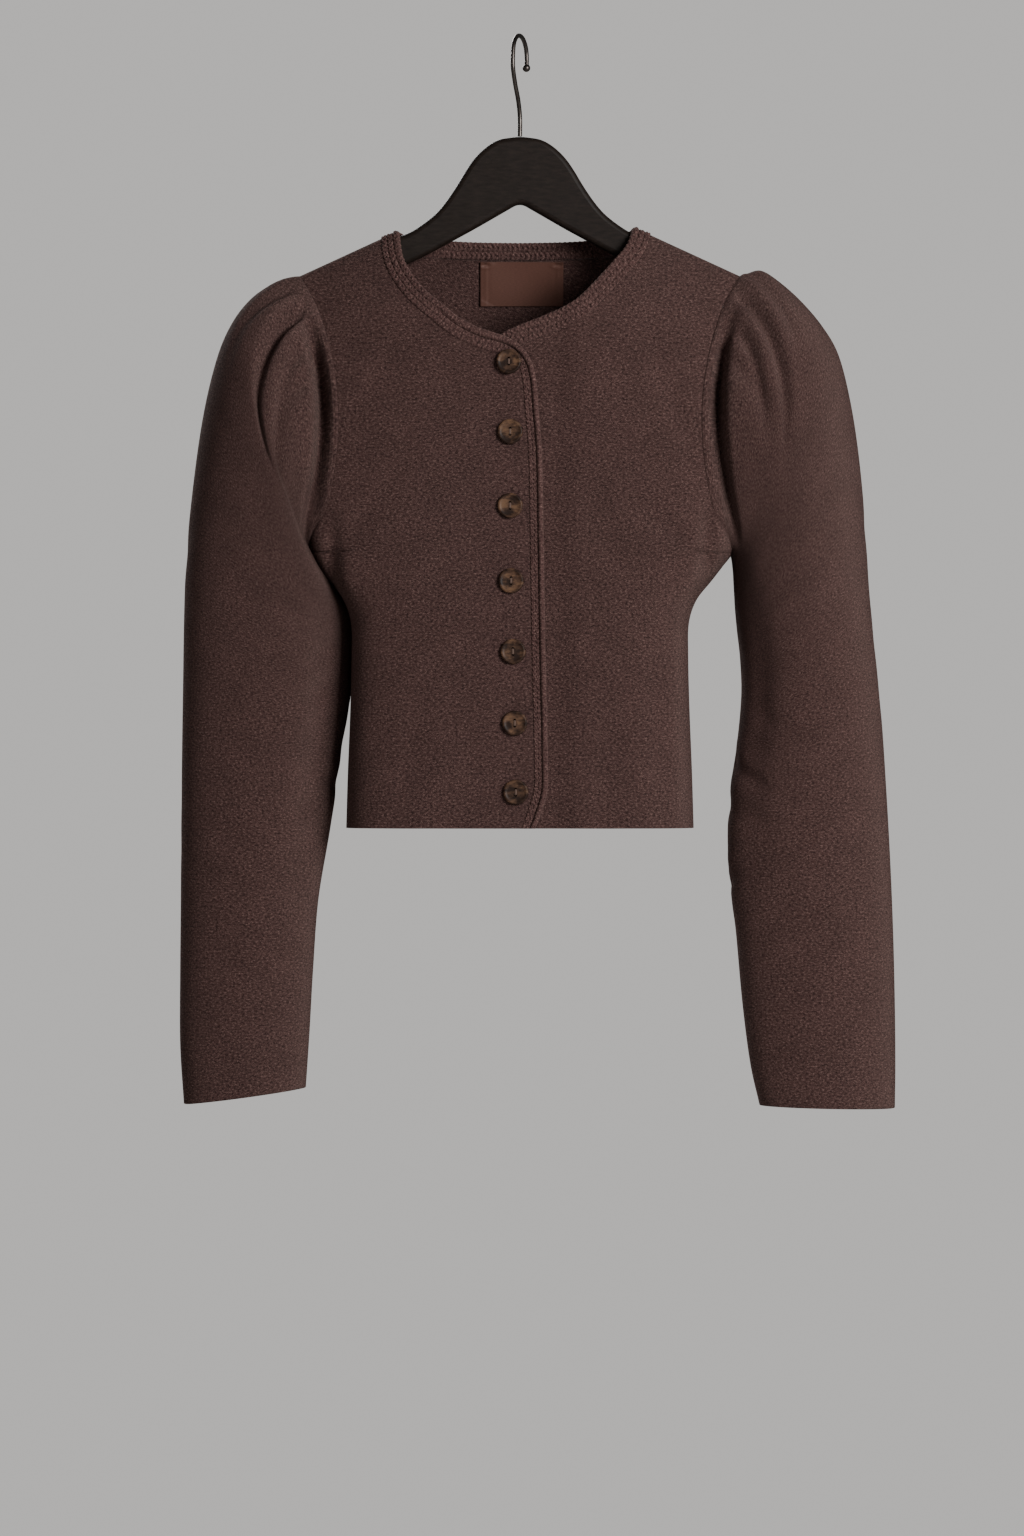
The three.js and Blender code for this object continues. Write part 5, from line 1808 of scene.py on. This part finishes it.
class CARDIGAN_OT_stage(bpy.types.Operator):
    """Set up the floor, the lights and the camera"""

    bl_idname = "cardigan.stage"
    bl_label = "Stage"

    def execute(self, context):
        studio = context.scene.cardigan_studio
        floor = self.floor(studio)
        powers = {"key": studio.key_power, "fill": studio.fill_power, "back": studio.back_power}
        lights = [self.light(name, *LIGHTS_M[name], power) for name, power in powers.items()]
        self.surround(context, studio)
        camera = self.camera(context, studio)
        return {"FINISHED"}

    def floor(self, studio):
        mesh = bpy.data.meshes.new("floor")
        mesh.from_pydata([(x, y, studio.floor_level) for x, y in FLOOR_CORNERS_M], [], [(0, 1, 2, 3)])
        mesh.materials.append(plain("Floor", studio.floor, 0.85))
        return new_object("floor", mesh)

    def light(self, name, place, target, size, power):
        data = bpy.data.lights.new(name, "AREA")
        data.shape = "SQUARE"
        data.size = size
        data.energy = power
        light = new_object(name, data)
        light.location = place
        way = Vector(target) - Vector(place)
        light.rotation_euler = way.to_track_quat("-Z", "Y").to_euler()
        return light

    def surround(self, context, studio):
        world = bpy.data.worlds.new("studio")
        world.use_nodes = True
        background = world.node_tree.nodes["Background"]
        background.inputs["Color"].default_value = rgba(studio.surround)
        seen = world.node_tree.nodes.new("ShaderNodeLightPath").outputs["Is Camera Ray"]
        strength = world.node_tree.nodes.new("ShaderNodeMapRange")
        strength.inputs["To Min"].default_value = studio.surround_strength
        strength.inputs["To Max"].default_value = studio.backdrop_strength
        world.node_tree.links.new(seen, strength.inputs["Value"])
        world.node_tree.links.new(strength.outputs["Result"], background.inputs["Strength"])
        context.scene.world = world

    def camera(self, context, studio):
        data = bpy.data.cameras.new("camera")
        data.sensor_width = SENSOR_WIDTH
        data.lens = studio.camera_lens
        data.dof.use_dof = False
        camera = new_object("camera", data)
        camera.location = (CAMERA_X_M, -studio.camera_distance, CAMERA_Z_M)
        camera.rotation_euler = (math.pi / 2, 0, 0)
        context.scene.camera = camera
        return camera


class CARDIGAN_PT_panel(bpy.types.Panel):
    """Sizes, colours and steps of the cardigan"""

    bl_label = "Cardigan"
    bl_idname = "CARDIGAN_PT_panel"
    bl_space_type = "VIEW_3D"
    bl_region_type = "UI"
    bl_category = "Cardigan"

    def draw(self, context):
        for key in GROUPS:
            group = getattr(context.scene, key)
            box = self.layout.box()
            for name in group.__annotations__:
                box.prop(group, name)
        for operator in OPERATORS:
            self.layout.operator(operator.bl_idname)


GROUPS = {
    "cardigan_knit": CardiganKnit,
    "cardigan_colours": CardiganColours,
    "cardigan_studio": CardiganStudio,
}
OPERATORS = (
    CARDIGAN_OT_right_front,
    CARDIGAN_OT_left_front,
    CARDIGAN_OT_back,
    CARDIGAN_OT_sleeves,
    CARDIGAN_OT_buttons,
    CARDIGAN_OT_label,
    CARDIGAN_OT_hanger,
    CARDIGAN_OT_stage,
)


def register():
    for made in (*GROUPS.values(), *OPERATORS, CARDIGAN_PT_panel):
        bpy.utils.register_class(made)
    for name, group in GROUPS.items():
        setattr(bpy.types.Scene, name, bpy.props.PointerProperty(type=group))


def unregister():
    for name in GROUPS:
        delattr(bpy.types.Scene, name)
    for made in (CARDIGAN_PT_panel, *reversed(OPERATORS), *reversed(GROUPS.values())):
        bpy.utils.unregister_class(made)


def main():
    register()
    bpy.ops.cardigan.right_front()
    bpy.ops.cardigan.left_front()
    bpy.ops.cardigan.back()
    bpy.ops.cardigan.sleeves()
    bpy.ops.cardigan.buttons()
    bpy.ops.cardigan.label()
    bpy.ops.cardigan.hanger()
    bpy.ops.cardigan.stage()


if __name__ == "__main__":
    main()
